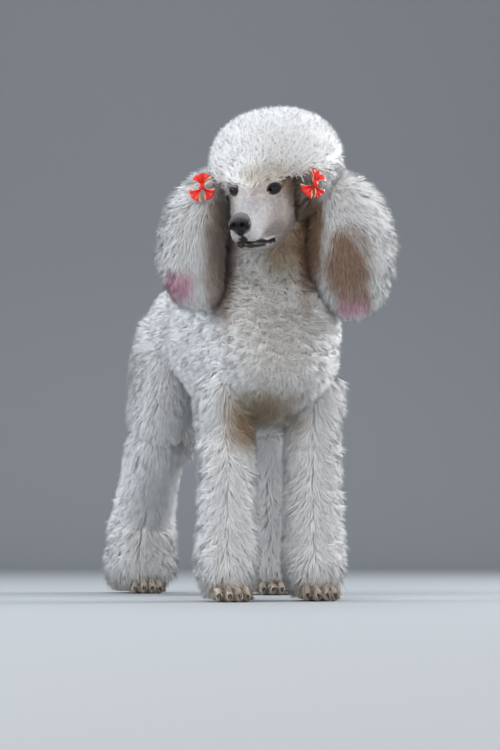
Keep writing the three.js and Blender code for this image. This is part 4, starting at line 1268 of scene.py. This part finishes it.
# Short fleece wherever the skin still shows between the forms.
roots = np.vstack(covered)
tree = KDTree(len(roots))
for i, place in enumerate(roots):
    tree.insert(place, i)
tree.balance()
corner, cross, area, middle = facesOf(bodyPoints, bodyQuads)
root, normal = strew(corner, cross, area, tufts["between"])
seen = (clay.sample(inHeadFrame(root)) > 1) & (root[:, 2] > 40)
root, normal = root[seen], normal[seen]
bare = np.array([tree.find(place)[2] for place in root + normal * 3]) > 5.5
root, normal = root[bare], normal[bare]
found = rooted(root, normal, np.arctan2(root[:, 0], root[:, 2] - 400) / 6.2832 + 0.5, (root[:, 1] + 300) / 1000)
lie = down + 0.4 * rng.normal(size=root.shape)
growCoat("coat_between", found, lie, dict(fleece, rise=14, length=24), ["torso", "neck"])

# Bows: pleated fans of wired ribbon round a knot. Each fan has an angle, half its spread and a size.
bows = {"spots": {"left": (21, -184, 631), "right": (-133, -122, 631)}, "turn": {"left": 0.3, "right": -0.6},
        "reach": 22,
        "fans": {"left": ((1.15, 0.85, 1.05), (3.85, 0.66, 1.1), (5.3, 0.62, 0.95)),
                 "right": ((1.7, 0.92, 1.0), (3.87, 0.72, 1.05), (5.5, 0.62, 1.0))}}
ribbonPaint = Paint("ribbon", **{"Roughness": 0.32, "Specular IOR Level": 0.5, "Sheen Weight": 0.0})
weave = ribbonPaint.noise(500, 2, 0.5, (1, 1, 6))
redTone = ribbonPaint.blend(weave, (0.70, 0.008, 0.006), (0.86, 0.045, 0.015))
# Darker red in the valleys of the pleats and in the knot's pinches: painted shade in the folds.
redTone = ribbonPaint.blend(ribbonPaint.value("foldShade") * 0.5, redTone, (0.42, 0.004, 0.004))
ribbonPaint.feed("Base Color", ribbonPaint.blend(ribbonPaint.value("wire"), redTone, (0.80, 0.62, 0.38)))
ribbonPaint.feed("Metallic", ribbonPaint.value("wire") * 0.4)
ribbonPaint.bump(weave, 0.12, 0.0004)
for name, side in sides.items():
    turn = Matrix.Rotation(bows["turn"][name], 4, "Z") @ Matrix.Rotation(math.pi / 2, 4, "X")
    turn = np.array(Matrix.Translation(bows["spots"][name]) @ turn)
    points, quads, marksWire, marksFoldShade, base = [], [], [], [], 0
    for angle, half, size in bows["fans"][name]:
        longCount, wideCount = 22, 26
        s, w = np.meshgrid(np.linspace(0, 1, longCount), np.linspace(-1, 1, wideCount), indexing="ij")
        s, w = s.ravel(), w.ravel()
        out = np.sin(np.pi * s) ** 0.75
        radius = (2.5 + (bows["reach"] - 2.5) * out) * size * (1 - 0.05 * w * w)
        fan = angle + w * half * (0.45 + 0.55 * out)
        pleat = np.cos(w * 9.4) * (1.6 - 0.8 * out) * np.minimum(1, 3 * np.sin(np.pi * s) + 0.3)
        layer = np.where(s < 0.5, 1, -1) * 4.2 * np.sin(np.pi * s) ** 0.6 * np.abs(np.cos(np.pi * s)) ** 0.7
        height = 6 + layer + pleat + 1.5 * np.sin(fan * 3 + out * 2)
        points.append(np.stack([np.cos(fan) * radius, np.sin(fan) * radius, height], 1))
        grid = np.arange(longCount * wideCount).reshape(longCount, wideCount) + base
        quads.append(np.stack([grid[:-1, :-1], grid[1:, :-1], grid[1:, 1:], grid[:-1, 1:]], -1).reshape(-1, 4))
        marksWire.append(smooth(0.86, 0.93, np.abs(w)))
        marksFoldShade.append((0.5 - 0.5 * np.cos(w * 9.4)) * (1 - 0.6 * out))
        base += longCount * wideCount
    points = np.vstack(points) @ turn[:3, :3].T + turn[:3, 3]
    bow = fastMesh(f"ribbon_{name}", points, np.vstack(quads))
    mark(bow.data, "wire", np.concatenate(marksWire))
    mark(bow.data, "foldShade", np.concatenate(marksFoldShade))
    ribbonPaint.on(bow)
    fit(bow, "ribbon", f"bow_{name}")
    v, u = np.meshgrid(np.linspace(0, np.pi, 15), np.arange(24) / 24 * 2 * np.pi, indexing="ij")
    v, u = v.ravel(), u.ravel()
    pinch = 1 - 0.12 * np.cos(u * 6) * np.sin(v)
    ball = np.stack([4.4 * np.sin(v) * np.cos(u) * pinch, 5.6 * np.cos(v), 10 + 3.8 * np.sin(v) * np.sin(u) * pinch], 1)
    ball = ball @ turn[:3, :3].T + turn[:3, 3]
    grid = np.arange(15 * 24).reshape(15, 24)
    wrap = np.roll(grid, -1, axis=1)
    knot = fastMesh(f"ribbonKnot_{name}", ball, np.stack([grid[:-1], wrap[:-1], wrap[1:], grid[1:]], -1).reshape(-1, 4))
    mark(knot.data, "wire", np.zeros(len(ball)))
    mark(knot.data, "foldShade", (0.5 + 0.5 * np.cos(u * 6)) * np.sin(v))
    ribbonPaint.on(knot)
    fit(knot, "ribbon", f"knot_{name}")
say("bows ready")

# Floor, backdrop, lights and camera
stageTones = {"floor": (0.40, 0.41, 0.42), "world": (0.84, 0.91, 1.0)}
sweep = {"front": -8.0, "bend": 5.2, "radius": 1.8, "wide": 8.0, "high": 8.0}  # metres; it bends up well behind the dog
bend = [(sweep["bend"] + sweep["radius"] * math.sin(t), sweep["radius"] * (1 - math.cos(t)))
        for t in np.linspace(0.1, 1.5, 12)]
profile = [(y, 0.0) for y in np.linspace(sweep["front"], sweep["bend"], 14)] + bend
profile.append((sweep["bend"] + sweep["radius"], sweep["high"]))
points = np.array([(x, y, z) for y, z in profile for x in (-sweep["wide"], sweep["wide"])])
rows = np.arange(len(profile) - 1) * 2
backdrop = fastMesh("backdrop", points, np.stack([rows, rows + 1, rows + 3, rows + 2], 1), place=lambda p: p)
backdrop.rotation_euler = (0, 0, turned)
floorPaint = Paint("backdrop", **{"Roughness": 0.9, "Specular IOR Level": 0.2})
floorPaint.feed("Base Color", floorPaint.blend(floorPaint.noise(0.6, 2) * 0.25, stageTones["floor"],
                                               (0.36, 0.37, 0.38)))
floorPaint.on(backdrop)

world = bpy.data.worlds.new("world")
bpy.context.scene.world = world
world.use_nodes = True
world.node_tree.nodes["Background"].inputs["Color"].default_value = (*stageTones["world"], 1)
world.node_tree.nodes["Background"].inputs["Strength"].default_value = 0.5
lights = [("key", (-1.7, -2.6, 2.5), 1.8, 30, (1.0, 0.98, 0.95)),
          ("fill", (0.9, -4.2, 1.2), 3.6, 52, (1.0, 0.96, 0.90)),
          ("catch", (-2.0, -2.4, 1.3), 0.9, 16, (0.92, 0.96, 1.0)),
          ("top", (0.2, 0.4, 3.2), 2.4, 38, (0.84, 0.92, 1.0)),
          ("rimLeft", (-2.8, 0.5, 1.7), 1.6, 60, (0.86, 0.93, 1.0)),
          ("rimRight", (3.0, -0.1, 1.7), 1.6, 108, (0.95, 0.97, 1.0))]  # name, place, size in metres, watts and colour
for name, place, size, power, colour in lights:
    lamp = bpy.data.lights.new(name, "AREA")
    lamp.size, lamp.energy, lamp.color = size, power, colour
    lampObject = bpy.data.objects.new(name, lamp)
    bpy.context.scene.collection.objects.link(lampObject)
    lampObject.location = place
    lampObject.rotation_mode = "QUATERNION"
    lampObject.rotation_quaternion = (Vector((0, 0, 0.42)) - Vector(place)).to_track_quat("-Z", "Y")
    lampObject.visible_glossy = name != "fill"  # the fill isn't seen in the eyes

eyePoint = camera["right"] * rightward - camera["distance"] * forward + np.array((0, 0, camera["height"]))
tilt = math.radians(camera["pitch"])
aim = Vector(forward * math.cos(tilt) + np.array((0, 0, math.sin(tilt))))
lensData = bpy.data.cameras.new("camera")
lensData.lens, lensData.sensor_width = camera["lens"], 36
lensData.clip_start, lensData.clip_end = 0.1, 60
cameraObject = bpy.data.objects.new("camera", lensData)
bpy.context.scene.collection.objects.link(cameraObject)
cameraObject.location = Vector(toRow(eyePoint))
cameraObject.rotation_mode = "QUATERNION"
cameraObject.rotation_quaternion = aim.to_track_quat("-Z", "Y")
bpy.context.scene.camera = cameraObject
bpy.context.scene.view_settings.view_transform = "Standard"

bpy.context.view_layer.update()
say("finished")
